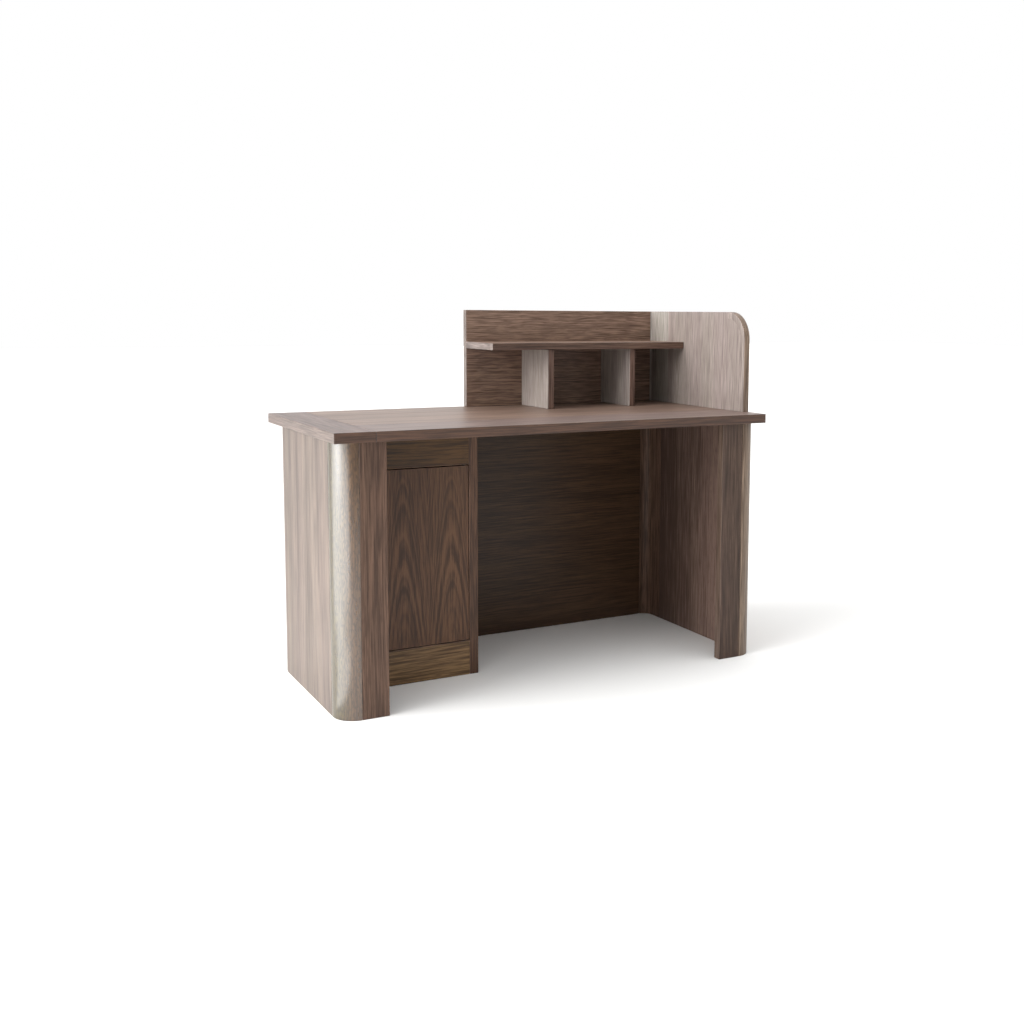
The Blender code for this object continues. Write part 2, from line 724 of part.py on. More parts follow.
def build_screen():
    """Low screen on the back and right edges of the work surface."""
    back = board(
        "screen_back_panel",
        (SCREEN_LEFT, SCREEN_FACE_Y, SCREEN_FOOT),
        (SCREEN_RIGHT - SCREEN_POST_RADIUS - GAP, SCREEN_BACK, SCREEN_TOP),
        WALNUT_SCREEN,
    )
    outline = bent_strip(
        (SCREEN_RIGHT, SCREEN_BACK), (-1, -1), SCREEN_POST_RADIUS, SCREEN_BOARD, 0, SCREEN_POST_LEG
    )
    shaped_board("screen_corner_post", outline, SCREEN_FOOT, SCREEN_TOP, WALNUT_UPRIGHT)

    nose_leg = SCREEN_TOP - SCREEN_NOSE_RADIUS - SCREEN_FOOT
    outline = bent_strip((SCREEN_NOSE, SCREEN_TOP), (1, -1), SCREEN_NOSE_RADIUS, LIPPING, 0, nose_leg)
    shaped_board("screen_side_lipping", outline, SCREEN_FACE_X, SCREEN_RIGHT, WALNUT_UPRIGHT, upright=True)
    seat = LIPPING + GAP
    inner_radius = SCREEN_NOSE_RADIUS - seat
    corner = (SCREEN_NOSE + SCREEN_NOSE_RADIUS, SCREEN_TOP - SCREEN_NOSE_RADIUS)
    side_back = SCREEN_POST_FRONT - GAP
    outline = [(side_back, SCREEN_FOOT), (side_back, SCREEN_TOP)]
    outline += [(corner[0] + GAP, SCREEN_TOP), (corner[0] + GAP, corner[1] + inner_radius)]
    outline += arc(corner, inner_radius, 90, 180) + [(SCREEN_NOSE + seat, SCREEN_FOOT)]
    side = shaped_board(
        "screen_side_panel", outline, SCREEN_FACE_X, SCREEN_RIGHT, WALNUT_UPRIGHT, upright=True
    )
    return back, side


def build_hutch():
    """Shelf in front of the screen on two dividers, each with a lipping on its front edge."""
    shelf_right = SCREEN_FACE_X - GAP
    post_cove = max(SCREEN_POST_RADIUS - SCREEN_BOARD - GAP, 0)
    outline = rounded_rectangle(
        (SCREEN_LEFT, HUTCH_FRONT + LIPPING + GAP),
        (shelf_right, SCREEN_FACE_Y - GAP),
        (0, 0, post_cove, 0),
    )
    shelf = shaped_board("hutch_shelf", outline, HUTCH_SHELF_BOTTOM, HUTCH_SHELF_TOP, WALNUT_SCREEN)
    board(
        "hutch_shelf_lipping",
        (SCREEN_LEFT, HUTCH_FRONT, HUTCH_SHELF_BOTTOM),
        (shelf_right, HUTCH_FRONT + LIPPING, HUTCH_SHELF_TOP),
        WALNUT_UPRIGHT,
    )
    dividers = []
    divider_top = HUTCH_SHELF_BOTTOM - GAP
    for name, left in (("hutch_divider_left", LEFT_DIVIDER), ("hutch_divider_right", RIGHT_DIVIDER)):
        right = left + SCREEN_BOARD
        divider = board(
            name,
            (left, DIVIDER_FRONT + LIPPING + GAP, SCREEN_FOOT),
            (right, SCREEN_FACE_Y - GAP, divider_top),
            WALNUT_UPRIGHT,
        )
        board(
            name + "_lipping",
            (left, DIVIDER_FRONT, SCREEN_FOOT),
            (right, DIVIDER_FRONT + LIPPING, divider_top),
            WALNUT_UPRIGHT,
        )
        dividers.append(divider)
    return shelf, dividers


def dowel_mesh(name, above, below):
    """Dowel about +Z, that reaches so far above and below the origin."""
    return turned_mesh(name, ((0, above), (DOWEL_RADIUS, above), (DOWEL_RADIUS, -below), (0, -below)))


def build_dowels(field, back, side, shelf, dividers):
    """Beech dowels between the work surface, the screen and dividers on it, and the shelf."""
    screen_y = SCREEN_BACK - SCREEN_BOARD / 2
    screen_x = SCREEN_RIGHT - SCREEN_BOARD / 2
    back_end = SCREEN_RIGHT - SCREEN_POST_RADIUS
    back_xs = spread(SCREEN_LEFT + DOWEL_MARGIN, back_end - DOWEL_MARGIN, BACK_DOWEL_COUNT)
    back_spots = [(x, screen_y) for x in back_xs]
    side_start = max(SCREEN_NOSE + LIPPING, FIELD_FRONT) + DOWEL_MARGIN
    side_ys = spread(side_start, SCREEN_POST_FRONT - DOWEL_MARGIN, SIDE_DOWEL_COUNT)
    side_spots = [(screen_x, y) for y in side_ys]
    divider_y = (DIVIDER_FRONT + LIPPING + SCREEN_FACE_Y) / 2
    divider_spots = [[(left + SCREEN_BOARD / 2, divider_y)] for left in (LEFT_DIVIDER, RIGHT_DIVIDER)]

    standing = [(back, back_spots), (side, side_spots)] + list(zip(dividers, divider_spots))
    top_holes = []
    top_places = []
    for holder, spots in standing:
        feet = [Vector((*spot, SCREEN_FOOT)) for spot in spots]
        drill(holder, [hole(foot, (0, 0, 1), DOWEL_IN_BOARD + GAP, DOWEL_RADIUS + GAP) for foot in feet])
        for spot in spots:
            seat = Vector((*spot, DESK_HEIGHT))
            top_holes.append(hole(seat, (0, 0, -1), DOWEL_IN_TOP + GAP, DOWEL_RADIUS + GAP))
            top_places.append(Matrix.Translation(seat))
    drill(field, top_holes)
    add_copies("screen_dowel", dowel_mesh("long dowel", DOWEL_IN_BOARD, DOWEL_IN_TOP), top_places, BEECH)

    in_shelf = SCREEN_BOARD / 2
    seats = [Vector((*spots[0], HUTCH_SHELF_BOTTOM)) for spots in divider_spots]
    drill(shelf, [hole(seat, (0, 0, 1), in_shelf + GAP, DOWEL_RADIUS + GAP) for seat in seats])
    for divider, seat in zip(dividers, seats):
        drill(divider, [hole(seat, (0, 0, -1), DOWEL_IN_BOARD + GAP, DOWEL_RADIUS + GAP)])
    places = [Matrix.Translation(seat) for seat in seats]
    add_copies("shelf_dowel", dowel_mesh("short dowel", in_shelf, DOWEL_IN_BOARD), places, BEECH)


def bracket_mesh(screw):
    """Angle bracket with its two driven screws: its corner at the origin, one leg along +X, one down -Z."""
    leg, thick, half = BRACKET_LEG, BRACKET_THICKNESS, BRACKET_WIDTH / 2
    plate = box("bracket plate", (0, -half, -thick), (leg, half, 0))
    upright = box("bracket upright", (0, -half, -leg), (thick, half, -thick / 2))
    at = leg - BRACKET_SCREW_FROM_END
    seat = thick - SCREW_HEAD_SINK
    up = Matrix.Translation((at, 0, -seat))
    inward = Matrix.Translation((seat, 0, -at)) @ turn_from_z((-1, 0, 0))
    pieces = [upright]
    for number, place in enumerate((up, inward), 1):
        pieces.append(bpy.data.objects.new(f"bracket screw {number}", screw.copy()))
        pieces[-1].matrix_world = place
    for piece in pieces:
        join(plate, piece)
    bpy.context.view_layer.update()
    mesh = mesh_of(plate)
    smooth(mesh)
    for piece in [plate] + pieces:
        bpy.data.objects.remove(piece, do_unlink=True)
    return mesh


def build_brackets(screw, field, left_border, left_side, right_side, modesty, cabinet_side):
    """Screwed angle brackets in the corners between the work surface and the boards that carry it."""
    middle_y = (CABINET_FRAME_BACK + LEFT_SIDE_BACK) / 2
    corners = [
        (left_side, left_border, (INNER_LEFT, middle_y), (1, 0)),
        (cabinet_side, field, (CABINET_SIDE_FACE, middle_y), (-1, 0)),
    ]
    for x in spread(CABINET_RIGHT, INNER_RIGHT, KNEEHOLE_BRACKET_COUNT + 2)[1:-1]:
        corners.append((modesty, field, (x, INNER_BACK), (0, -1)))
    corners.append((right_side, field, (INNER_RIGHT, middle_y), (-1, 0)))
    at = BRACKET_LEG - BRACKET_SCREW_FROM_END
    depth = SCREW_LENGTH - BRACKET_THICKNESS + SCREW_HEAD
    places = []
    holes = {}
    for wall, top, (x, y), (out_x, out_y) in corners:
        out = Vector((out_x, out_y, 0))
        corner = Vector((x, y, TOP_UNDERSIDE))
        down = Vector((0, 0, -1))
        turn = Matrix.Rotation(math.atan2(out_y, out_x), 4, "Z")
        places.append(Matrix.Translation(corner + (out + down) * GAP) @ turn)
        up_spot = corner + out * (at + GAP)
        wall_spot = corner + down * (at + GAP)
        holes.setdefault(top, []).append(hole(up_spot, (0, 0, 1), depth + GAP, SCREW_RADIUS + GAP))
        holes.setdefault(wall, []).append(hole(wall_spot, -out, depth + GAP, SCREW_RADIUS + GAP))
    for target, drilled in holes.items():
        drill(target, drilled)
    add_copies("top_bracket", bracket_mesh(screw), places, ZINC)


def screw_mesh():
    """Wood screw: its shank along +Z from the seat of its head at the origin."""
    return turned_mesh(
        "wood screw",
        (
            (0, SCREW_LENGTH),
            (SCREW_RADIUS, SCREW_LENGTH),
            (SCREW_RADIUS, 0),
            (SCREW_HEAD_RADIUS, 0),
            (SCREW_HEAD_RADIUS, -SCREW_HEAD),
            (0, -SCREW_HEAD),
        ),
    )


def main():
    """Build the desk."""
    clear_scene()
    add_collection(PARTS)
    add_collection(CUTTERS)
    screw = screw_mesh()
    field, left_border = build_top()
    left_side, right_side, modesty = build_carcass()
    cabinet_side, top_rail, bottom_rail, floor = build_cabinet(left_side)
    build_door(top_rail, bottom_rail)
    build_latch(floor, screw)
    back, side = build_screen()
    shelf, dividers = build_hutch()
    build_dowels(field, back, side, shelf, dividers)
    build_brackets(screw, field, left_border, left_side, right_side, modesty, cabinet_side)


main()
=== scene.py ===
"""Finishes, smooth bent boards, fittings and a studio stage for a walnut reception desk.

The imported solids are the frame. Boards that are flat keep their solid and get veneers of their own.
Boards that are bent, and the small fittings, are modelled again in the same place with smooth curves.
"""

import math
from typing import NamedTuple

import bmesh
import bpy
from mathutils import Matrix, Vector


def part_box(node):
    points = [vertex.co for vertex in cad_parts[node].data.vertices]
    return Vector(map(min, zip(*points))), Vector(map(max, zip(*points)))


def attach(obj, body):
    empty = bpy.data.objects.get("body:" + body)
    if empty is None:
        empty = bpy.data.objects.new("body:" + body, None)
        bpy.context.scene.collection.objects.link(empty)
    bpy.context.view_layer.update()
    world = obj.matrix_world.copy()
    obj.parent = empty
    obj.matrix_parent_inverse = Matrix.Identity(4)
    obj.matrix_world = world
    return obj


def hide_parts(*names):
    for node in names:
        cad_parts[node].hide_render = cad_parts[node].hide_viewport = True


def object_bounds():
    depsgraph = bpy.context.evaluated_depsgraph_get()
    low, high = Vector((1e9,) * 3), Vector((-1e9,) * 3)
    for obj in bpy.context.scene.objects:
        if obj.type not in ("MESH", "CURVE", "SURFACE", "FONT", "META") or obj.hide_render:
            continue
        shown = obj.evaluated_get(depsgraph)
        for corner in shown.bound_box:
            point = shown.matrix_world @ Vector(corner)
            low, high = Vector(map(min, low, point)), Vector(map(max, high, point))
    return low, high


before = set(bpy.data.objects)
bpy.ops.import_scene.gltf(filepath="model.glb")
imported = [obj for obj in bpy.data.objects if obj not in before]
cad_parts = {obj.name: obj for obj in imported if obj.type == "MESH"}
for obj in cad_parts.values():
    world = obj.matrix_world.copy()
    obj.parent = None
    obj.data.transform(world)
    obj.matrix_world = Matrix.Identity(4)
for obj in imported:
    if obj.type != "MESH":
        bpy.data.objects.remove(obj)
CAD_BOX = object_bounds()

bl_info = {
    "name": "Reception desk",
    "version": (1, 0, 0),
    "blender": (4, 5, 0),
    "location": "3D View > Sidebar > Desk",
    "description": "Dresses the frame of a reception desk in veneers and sets a studio stage",
    "category": "Object",
}

MM = 0.001
QUARTER_TURN = math.radians(90)
X = Vector((1, 0, 0))
Y = Vector((0, 1, 0))
Z = Vector((0, 0, 1))
ALL_AXES = X + Y + Z

# Veneered nodes: veneer, direction of the grain and direction across it
VENEERED = {
    "desktop_field": ("field", X, Y),
    "desktop_left_border": ("border", Y, X),
    "desktop_front_border": ("front_border", X, Y),
    "left_front_stile": ("stile", Z, X),
    "right_front_stile": ("right_stile", Z, X),
    # The end boards' pale grey tone is partly their own and partly painted light from the lit wall at the
    # left
    "left_side_panel": ("side", Z, Y),
    # Inside the kneehole the boards take dark tones, painted shade under the top
    "right_side_panel": ("kneehole_end", Z, Y),
    "modesty_panel": ("kneehole", X, Z),
    "cabinet_side": ("cabinet", Z, Y),
    "cabinet_left_jamb": ("cabinet", Z, X),
    "cabinet_bottom_rail": ("plinth", X, Z),
    "cabinet_top_rail": ("rail", X, Z),
    "cabinet_floor": ("cabinet", X, Y),
    "cabinet_shelf": ("cabinet", X, Y),
    "cabinet_door": ("door", Z, X),
    "screen_back_panel": ("screen", X, Z),
    # The screen's end board and the dividers take pale grey tones, partly their own and partly painted
    # light from the lit wall at the left
    "screen_side_panel": ("side_screen", Z, Y),
    "hutch_shelf": ("screen", X, Y),
    "hutch_shelf_lipping": ("shelf_edge", X, Z),
    "hutch_divider_left": ("divider", Z, Y),
    "hutch_divider_left_lipping": ("lipping", Z, X),
    "hutch_divider_right": ("divider", Z, Y),
    "hutch_divider_right_lipping": ("lipping", Z, X),
}

# Bent boards in plan: board that shares their thickness, way in from the corner, and veneer
BENT_IN_PLAN = {
    "left_front_post": ("left_front_stile", (1, 1), "post"),
    "right_front_post": ("right_front_stile", (-1, 1), "right_post"),
    # The rear left corner takes the sides' pale tone, partly painted light
    "rear_left_corner": ("modesty_panel", (1, -1), "side"),
    # The rear right corner's inside takes the kneehole's dark tone, painted shade
    "rear_right_corner": ("modesty_panel", (-1, -1), "kneehole_corner"),
    # The screen's corner takes a pale tone, partly painted light
    "screen_corner_post": ("screen_back_panel", (-1, -1), "screen_corner"),
}
# Screen's rounded front edge, which is bent upright, and the lipping that shares its thickness
NOSE = "screen_side_lipping"
NOSE_LIKE = "hutch_shelf_lipping"


class FaceVeneer(NamedTuple):
    """Another tone on the faces of a board that look one way.

    Some are other sheets of veneer, and some are paler or darker copies that paint light or shade on
    those faces. It starts at a nearness of their normals to that way, and is full after the fade.
    """

    way: Vector
    tone: str
    grain: Vector
    nearness: float = 0.6
    fade: float = 0.1


FRONT_LEFT = (-X - Y).normalized()
BACK_RIGHT = (X + Y).normalized()
# Boards with other tones on some of their edges and faces: other sheets of veneer, and copies that paint
# light or shade, as said below
OTHER_FACES = {
    "desktop_field": (FaceVeneer(X, "border", Y),),
    "desktop_left_border": (
        # The left edge's paler, greyer tone is partly painted light from the lit wall at the left
        FaceVeneer(-X, "left_edge", Y),
        FaceVeneer(-Y, "front_edge", X),
        FaceVeneer(Y, "border", X),
    ),
    "desktop_front_border": (
        FaceVeneer(-Y, "front_edge", X),
        FaceVeneer(X, "front_border", Y),
        FaceVeneer(FRONT_LEFT, "joint", X, 0.85),
    ),
    # Painted tint: the post's faces that look left, where its highlight falls, are greener so the
    # highlight reads cooler
    "left_front_post": (FaceVeneer(-X, "post_side", Z, 0.35, 0.5),),
    # The back board's inner face keeps the dark kneehole tone, painted shade; its outer face takes the
    # screen's tone
    "modesty_panel": (FaceVeneer(Y, "screen", X),),
    # The stile's inner edge is paler, partly painted light on a face that looks to the lit left
    "right_front_stile": (FaceVeneer(-X, "stile_edge", Z),),
    # The right end's inner face keeps the dark kneehole tone, painted shade; its outer face takes the
    # screen's tone
    "right_side_panel": (FaceVeneer(X, "screen", Z),),
    "rear_left_corner": (FaceVeneer(Y, "screen", Z, 0.2, 0.6),),
    # The corner's inside keeps its dark tone, painted shade; its outer faces take the screen's tone
    "rear_right_corner": (FaceVeneer(BACK_RIGHT, "screen", Z, 0.5),),
    # Faces round the door's gap take the paler screen tone: painted light that lifts the shade in the gap
    "cabinet_side": (FaceVeneer(-X, "screen", Z),),
    "cabinet_bottom_rail": (FaceVeneer(Z, "screen", X),),
    "cabinet_top_rail": (FaceVeneer(-Z, "screen", X),),
    "cabinet_door": (
        FaceVeneer(Z, "screen", X),
        FaceVeneer(-Z, "screen", X),
        FaceVeneer(X, "screen", Z),
        FaceVeneer(-X, "screen", Z),
    ),
    # The screen's left end edge is paler, partly painted light from the lit wall at the left
    "screen_back_panel": (FaceVeneer(-X, "end_edge", Z),),
    "screen_side_panel": (FaceVeneer(X, "screen", Z), FaceVeneer(Z, "side_screen", Y)),
    "screen_corner_post": (FaceVeneer(BACK_RIGHT, "screen", Z, 0.5), FaceVeneer(Z, "screen", X)),
    # The shelf's and its lipping's left ends are paler, partly painted light from the lit wall at the
    # left
    "hutch_shelf": (FaceVeneer(-X, "end_edge", Y), FaceVeneer(X, "screen", Y)),
    "hutch_shelf_lipping": (FaceVeneer(-X, "end_edge", Y), FaceVeneer(X, "shelf_edge", Y)),
    # The lippings' left faces take the dividers' pale tone, partly painted light
    "hutch_divider_left_lipping": (FaceVeneer(-X, "divider", Z),),
    "hutch_divider_right_lipping": (FaceVeneer(-X, "divider", Z),),
    NOSE: (
        # The rounded edge's left face takes the screen end's pale tone, partly painted light
        FaceVeneer(-X, "side_screen", Z),
        FaceVeneer(X, "screen", Z),
        FaceVeneer(Z, "nose", Y, 0.5, 0.4),
    ),
}

# Angle brackets under the top, and the way that each one's level leg points
BRACKETS = {
    "top_bracket_1": X,
    "top_bracket_2": -X,
    "top_bracket_3": -Y,
    "top_bracket_4": -Y,
    "top_bracket_5": -X,
}


def to_linear(hex_colour):
    """Linear red, green and blue of an sRGB hex colour."""
    values = [int(hex_colour[place : place + 2], 16) / 255 for place in (1, 3, 5)]
    return [v / 12.92 if v <= 0.04045 else ((v + 0.055) / 1.055) ** 2.4 for v in values]


def colour_property(name, description, hex_colour):
    """A colour that the user can set."""
    return bpy.props.FloatVectorProperty(
        name=name,
        description=description,
        default=to_linear(hex_colour),
        subtype="COLOR",
        size=3,
        min=0,
        max=1,
    )


def length_property(name, description, metres):
    """A length that the user can set."""
    return bpy.props.FloatProperty(
        name=name,
        description=description,
        default=metres,
        min=0,
        unit="LENGTH",
        subtype="DISTANCE",
        precision=5,
    )


def share_property(name, description, value):
    """A share from none to all that the user can set."""
    return bpy.props.FloatProperty(
        name=name, description=description, default=value, min=0, max=1, subtype="FACTOR"
    )


def angle_property(name, description, radians):
    """An angle that the user can set."""
    return bpy.props.FloatProperty(name=name, description=description, default=radians, unit="ROTATION")


def count_property(name, description, count, least, most):
    """A count that the user can set."""
    return bpy.props.IntProperty(name=name, description=description, default=count, min=least, max=most)


def place_property(name, description, place):
    """A place in space that the user can set."""
    return bpy.props.FloatVectorProperty(
        name=name, description=description, default=place, size=3, unit="LENGTH", subtype="TRANSLATION"
    )


def light_property(name, description, strength):
    """A strength of light that the user can set."""
    return bpy.props.FloatProperty(name=name, description=description, default=strength, min=0)


class VeneerSettings(bpy.types.PropertyGroup):
    """Tones and grain of the walnut veneers."""

    field: colour_property("Field", "Work surface's field", "#746055")
    border: colour_property("Left border", "Work surface's border board at the left", "#685752")
    front_border: colour_property("Front border", "Work surface's border board in front", "#6F5E58")
    front_edge: colour_property("Front edge", "Front edge of the work surface", "#432D21")
    joint: colour_property("Joint", "Eased edge at the front joint of the work surface", "#3A2A22")
    # Paler and greyer than the front edge of the same board: partly painted light on the face that looks
    # to the lit wall at the left
    left_edge: colour_property("Left edge", "Left edge of the work surface", "#5C504A")
    # Paler and greyer than the boards they end: partly painted light on faces that look to the lit wall
    # at the left
    end_edge: colour_property("End edges", "Left edges of the screen and the shelf", "#736863")
    stile: colour_property("Stile", "Left front stile", "#4E3A2F")
    right_stile: colour_property("Right stile", "Right front stile", "#44342B")
    # Paler than the stile's front: partly painted light on the edge that looks to the lit wall at the
    # left
    stile_edge: colour_property("Stile edge", "Inner edge of the right front stile", "#594A41")
    # Paler and greyer than the fronts: partly the walnut's own tone, partly painted light on faces that
    # look to the lit wall at the left
    side: colour_property("Sides", "Outer faces of the two end boards", "#5A4E46")
    post: colour_property("Left post", "Quarter-round post at the left of the front", "#503922")
    # Painted tint: greener where the left post's highlight falls, so the highlight reads cooler
    post_side: colour_property(
        "Left post's side", "Greener tint painted where the highlight falls on the left post", "#423922"
    )
    right_post: colour_property("Right post", "Quarter-round post at the right of the front", "#705F51")
    # Painted shade: the kneehole's inner faces are darkened for the shade under the top, while their
    # outer faces take the screen's tone
    kneehole: colour_property("Kneehole back", "Board behind the kneehole", "#402E20")
    kneehole_end: colour_property("Kneehole end", "Right end of the kneehole", "#65534B")
    kneehole_corner: colour_property("Kneehole corner", "Inside of the rear right corner", "#564338")
    cabinet: colour_property("Cabinet", "Cabinet's boards", "#4F382A")
    plinth: colour_property("Plinth", "Cabinet's bottom rail", "#685137")
    rail: colour_property("Top rail", "Cabinet's top rail", "#49331B")
    door: colour_property("Door", "Cabinet's door", "#513827")
    # On the door's edges and the faces round its gap this paler tone is painted light that lifts the
    # gap's shade
    screen: colour_property(
        "Screen", "Screen's long board, the shelf, the desk's back and the door's edges", "#766053"
    )
    # These three are paler and greyer: partly the walnut's own tone, partly painted light on faces that
    # look to the lit wall at the left
    side_screen: colour_property(
        "Screen end", "Screen's end board and the sides of its rounded edge", "#837974"
    )
    screen_corner: colour_property("Screen corner", "Screen's corner", "#928C86")
    divider: colour_property("Dividers", "Shelf's dividers", "#948B86")
    lipping: colour_property("Lippings", "Front edges of the dividers", "#5F4A41")
    shelf_edge: colour_property("Shelf edge", "Front edge of the shelf", "#544137")
    nose: colour_property("Rounded edge", "Front of the screen's rounded edge", "#705F52")
    band_width: length_property("Band width", "Width of the broad tone bands", 34 * MM)
    streak_width: length_property("Streak width", "Width of the drawn-out grain streaks", 6 * MM)
    line_width: length_property("Line width", "Width of the fine grain lines", 2.6 * MM)
    pore_width: length_property("Pore width", "Width of the open pores", 2.4 * MM)
    ring_spacing: length_property("Ring spacing", "Distance between growth lines", 5.2 * MM)
    flitch_width: length_property("Flitch width", "Width of one crown-cut veneer sheet", 143.5 * MM)
    flitch_middle: length_property(
        "Flitch middle", "Middle of one crown-cut sheet from the desk's left end", 270 * MM
    )
    heart_depth: length_property(
        "Heart depth", "Distance of a crown-cut sheet from the heart of the log", 40 * MM
    )
    sheen: share_property("Sheen", "Roughness of the lacquer", 0.41)
    post_sheen: share_property("Post sheen", "Roughness of the thicker lacquer on the left post", 0.29)
    satin: share_property("Satin", "Specular level of the lacquer on upright boards", 0.3)
    matt: share_property("Matt", "Specular level of the thin lacquer inside the kneehole", 0.12)
    polish: share_property("Polish", "Specular level of the lacquer on the top and the end boards", 0.5)
    post_gloss: share_property(
        "Post gloss", "Specular level of the thicker lacquer on the left post", 1.0
    )
    post_index: bpy.props.FloatProperty(
        name="Post index",
        description="Refractive index of the thicker lacquer on the left post",
        default=1.58,
        min=1,
    )


class BoardSettings(bpy.types.PropertyGroup):
    """How finely the bent boards are modelled."""

    arc_steps: count_property("Arc steps", "Steps in each quarter round", 32, 4, 128)
    edge_round: length_property("Edge round", "Radius of the eased edges", 1.2 * MM)
    nose_round: length_property(
        "Nose round", "Radius of the edges of the screen's rounded front edge", 2.5 * MM
    )


class FittingSettings(bpy.types.PropertyGroup):
    """Sizes and finishes of the brackets, the latch and the pins."""

    round_steps: count_property("Round steps", "Steps in each turned round", 40, 12, 128)
    bracket_leg: length_property("Bracket leg", "Length of each leg of an angle bracket", 30 * MM)
    bracket_sheet: length_property("Bracket sheet", "Thickness of an angle bracket", 2 * MM)
    bracket_bend: length_property("Bracket bend", "Radius of an angle bracket's bend", 3 * MM)
    bracket_corner: length_property("Bracket corner", "Radius of an angle bracket's corners", 5 * MM)
    screw_from_tip: length_property(
        "Screw from tip", "Distance of a bracket's screw from its leg's tip", 10 * MM
    )
    screw_shank: length_property("Screw shank", "Radius of a screw's shank", 1.8 * MM)
    screw_head: length_property("Screw head", "Radius of a screw's head", 3.5 * MM)
    screw_dome: length_property("Screw dome", "Height of a screw's head", 2 * MM)
    screw_length: length_property("Screw length", "Length of a screw under its head", 14 * MM)
    recess_width: length_property(
        "Recess width", "Width of each arm of a screw's cross recess", 0.9 * MM
    )
    recess_depth: length_property("Recess depth", "Depth of a screw's cross recess", 0.9 * MM)
    pivot_radius: length_property("Pivot radius", "Radius of the door's pivot pins", 2.5 * MM)
    door_gap: length_property("Door gap", "Gap round the door", 3 * MM)
    clearance: length_property("Clearance", "Gap between pieces that touch", 0.3 * MM)
    latch_width: length_property("Latch width", "Width and height of the latch's body", 14 * MM)
    foot_length: length_property("Foot length", "Length of the latch's foot", 18 * MM)
    foot_sheet: length_property("Foot sheet", "Thickness of the latch's foot", 3 * MM)
    plunger_head: length_property("Plunger head", "Thickness of the plunger's head", 3 * MM)
    plunger_stem: length_property("Plunger stem", "Radius of the plunger's stem", 3 * MM)
    latch_travel: length_property("Latch travel", "How far the plunger goes in", 4 * MM)
    chamfer: length_property("Chamfer", "Chamfer on turned ends and moulded edges", 0.5 * MM)
    zinc: colour_property("Zinc", "Zinc plated steel", "#A9ABAC")
    # Darker than the zinc: painted shade, so the pivot pins sit unseen in the door's gap
    pivot_steel: colour_property("Pivot steel", "Dull steel of the door's pivot pins", "#58595B")
    brass: colour_property("Brass", "Turned brass", "#A98A4E")
    plastic: colour_property("Plastic", "Moulded plastic of the latch", "#3C3D40")
    beech: colour_property("Beech", "Beech of the dowels", "#B98F66")
    plywood: colour_property("Plywood", "Plywood of the loose tongues", "#B5926A")


class StageSettings(bpy.types.PropertyGroup):
    """Camera, light and floor."""

    camera_place: place_property(
        "Camera place",
        "Where the camera stands",
        (-1.5319, -3.1724, 1.0539),
    )
    yaw: angle_property("Yaw", "Turn of the camera to the right of +Y", 0.5247)
    pitch: angle_property("Pitch", "Tilt of the camera below level", 0.1063)
    roll: angle_property("Roll", "Turn of the camera about its sight line", 0.0081)
    focal_pixels: bpy.props.FloatProperty(
        name="Focal length", description="Focal length in pixels of the photograph", default=1179.5
    )
    sight_point: bpy.props.FloatVectorProperty(
        name="Sight point",
        description="Pixel of the photograph that the camera's sight line meets",
        default=(608.8, 437.9),
        size=2,
    )
    picture_pixels: bpy.props.IntProperty(
        name="Picture size", description="Width and height of the photograph in pixels", default=1024
    )
    floor_colour: colour_property("Floor", "Colour of the studio floor", "#E7E7E6")
    floor_size: length_property("Floor size", "Width of the studio floor", 60.0)
    room_light: light_property("Room light", "Strength of the white room round the desk", 1.0)
    ceiling_light: light_property("Ceiling light", "Strength of the white room overhead", 1.5)
    front_shade: share_property(
        "Front shade", "Share of the room's light that its open front lacks", 0.88
    )
    window_light: light_property("Window light", "Strength that the lit wall at the left adds", 6.5)
    window_height: angle_property("Window height", "Angle of the lit wall's middle above level", 0.42)
    window_core: angle_property("Window core", "Angle from its middle that is lit in full", 0.25)
    window_fade: angle_property("Window fade", "Angle from its middle where its light ends", 0.55)
    softbox_place: place_property(
        "Softbox place",
        "Middle of the softbox that stands on the floor at the left",
        (-1.45, -0.52, 0.42),
    )
    softbox_width: length_property("Softbox width", "Width of the softbox", 1.84)
    softbox_height: length_property("Softbox height", "Height of the softbox", 0.84)
    softbox_light: light_property("Softbox light", "Brightness of the softbox's face", 3.6)
    reflector_place: place_property(
        "Reflector place",
        "Middle of the reflector that lies on the floor before the softbox",
        (-1.13, -0.30, 0.004),
    )
    reflector_turn: angle_property("Reflector turn", "Turn of the reflector about Z", -0.35)
    reflector_width: length_property("Reflector width", "Width of the reflector", 0.76)
    reflector_length: length_property("Reflector length", "Length of the reflector", 0.44)
    reflector_light: light_property("Reflector light", "Brightness of the reflector's face", 2.4)


def set_inputs(tree, node, inputs):
    """Set or link inputs of a shader node."""
    for socket, value in inputs.items():
        if isinstance(value, bpy.types.NodeSocket):
            tree.links.new(value, node.inputs[socket])
        else:
            node.inputs[socket].default_value = value


def add_node(tree, kind, inputs, output=0, **settings):
    """Add a shader node with its settings, set or link its inputs, and give one of its outputs."""
    made = tree.nodes.new(kind)
    for name, value in settings.items():
        setattr(made, name, value)
    set_inputs(tree, made, inputs)
    return made.outputs[output]


def new_material(name):
    """Add a material with a shader, and give its tree and shader."""
    material = bpy.data.materials.new(name)
    material.use_nodes = True
    tree = material.node_tree
    return material, tree, tree.nodes["Principled BSDF"]


def times(colour, share):
    """A colour times a share of each of its parts, as a shader takes it."""
    return (*[value * part for value, part in zip(colour, share)], 1)


def dress(obj, material):
    """Make a material the only one of an object."""
    obj.data.materials.clear()
    obj.data.materials.append(material)


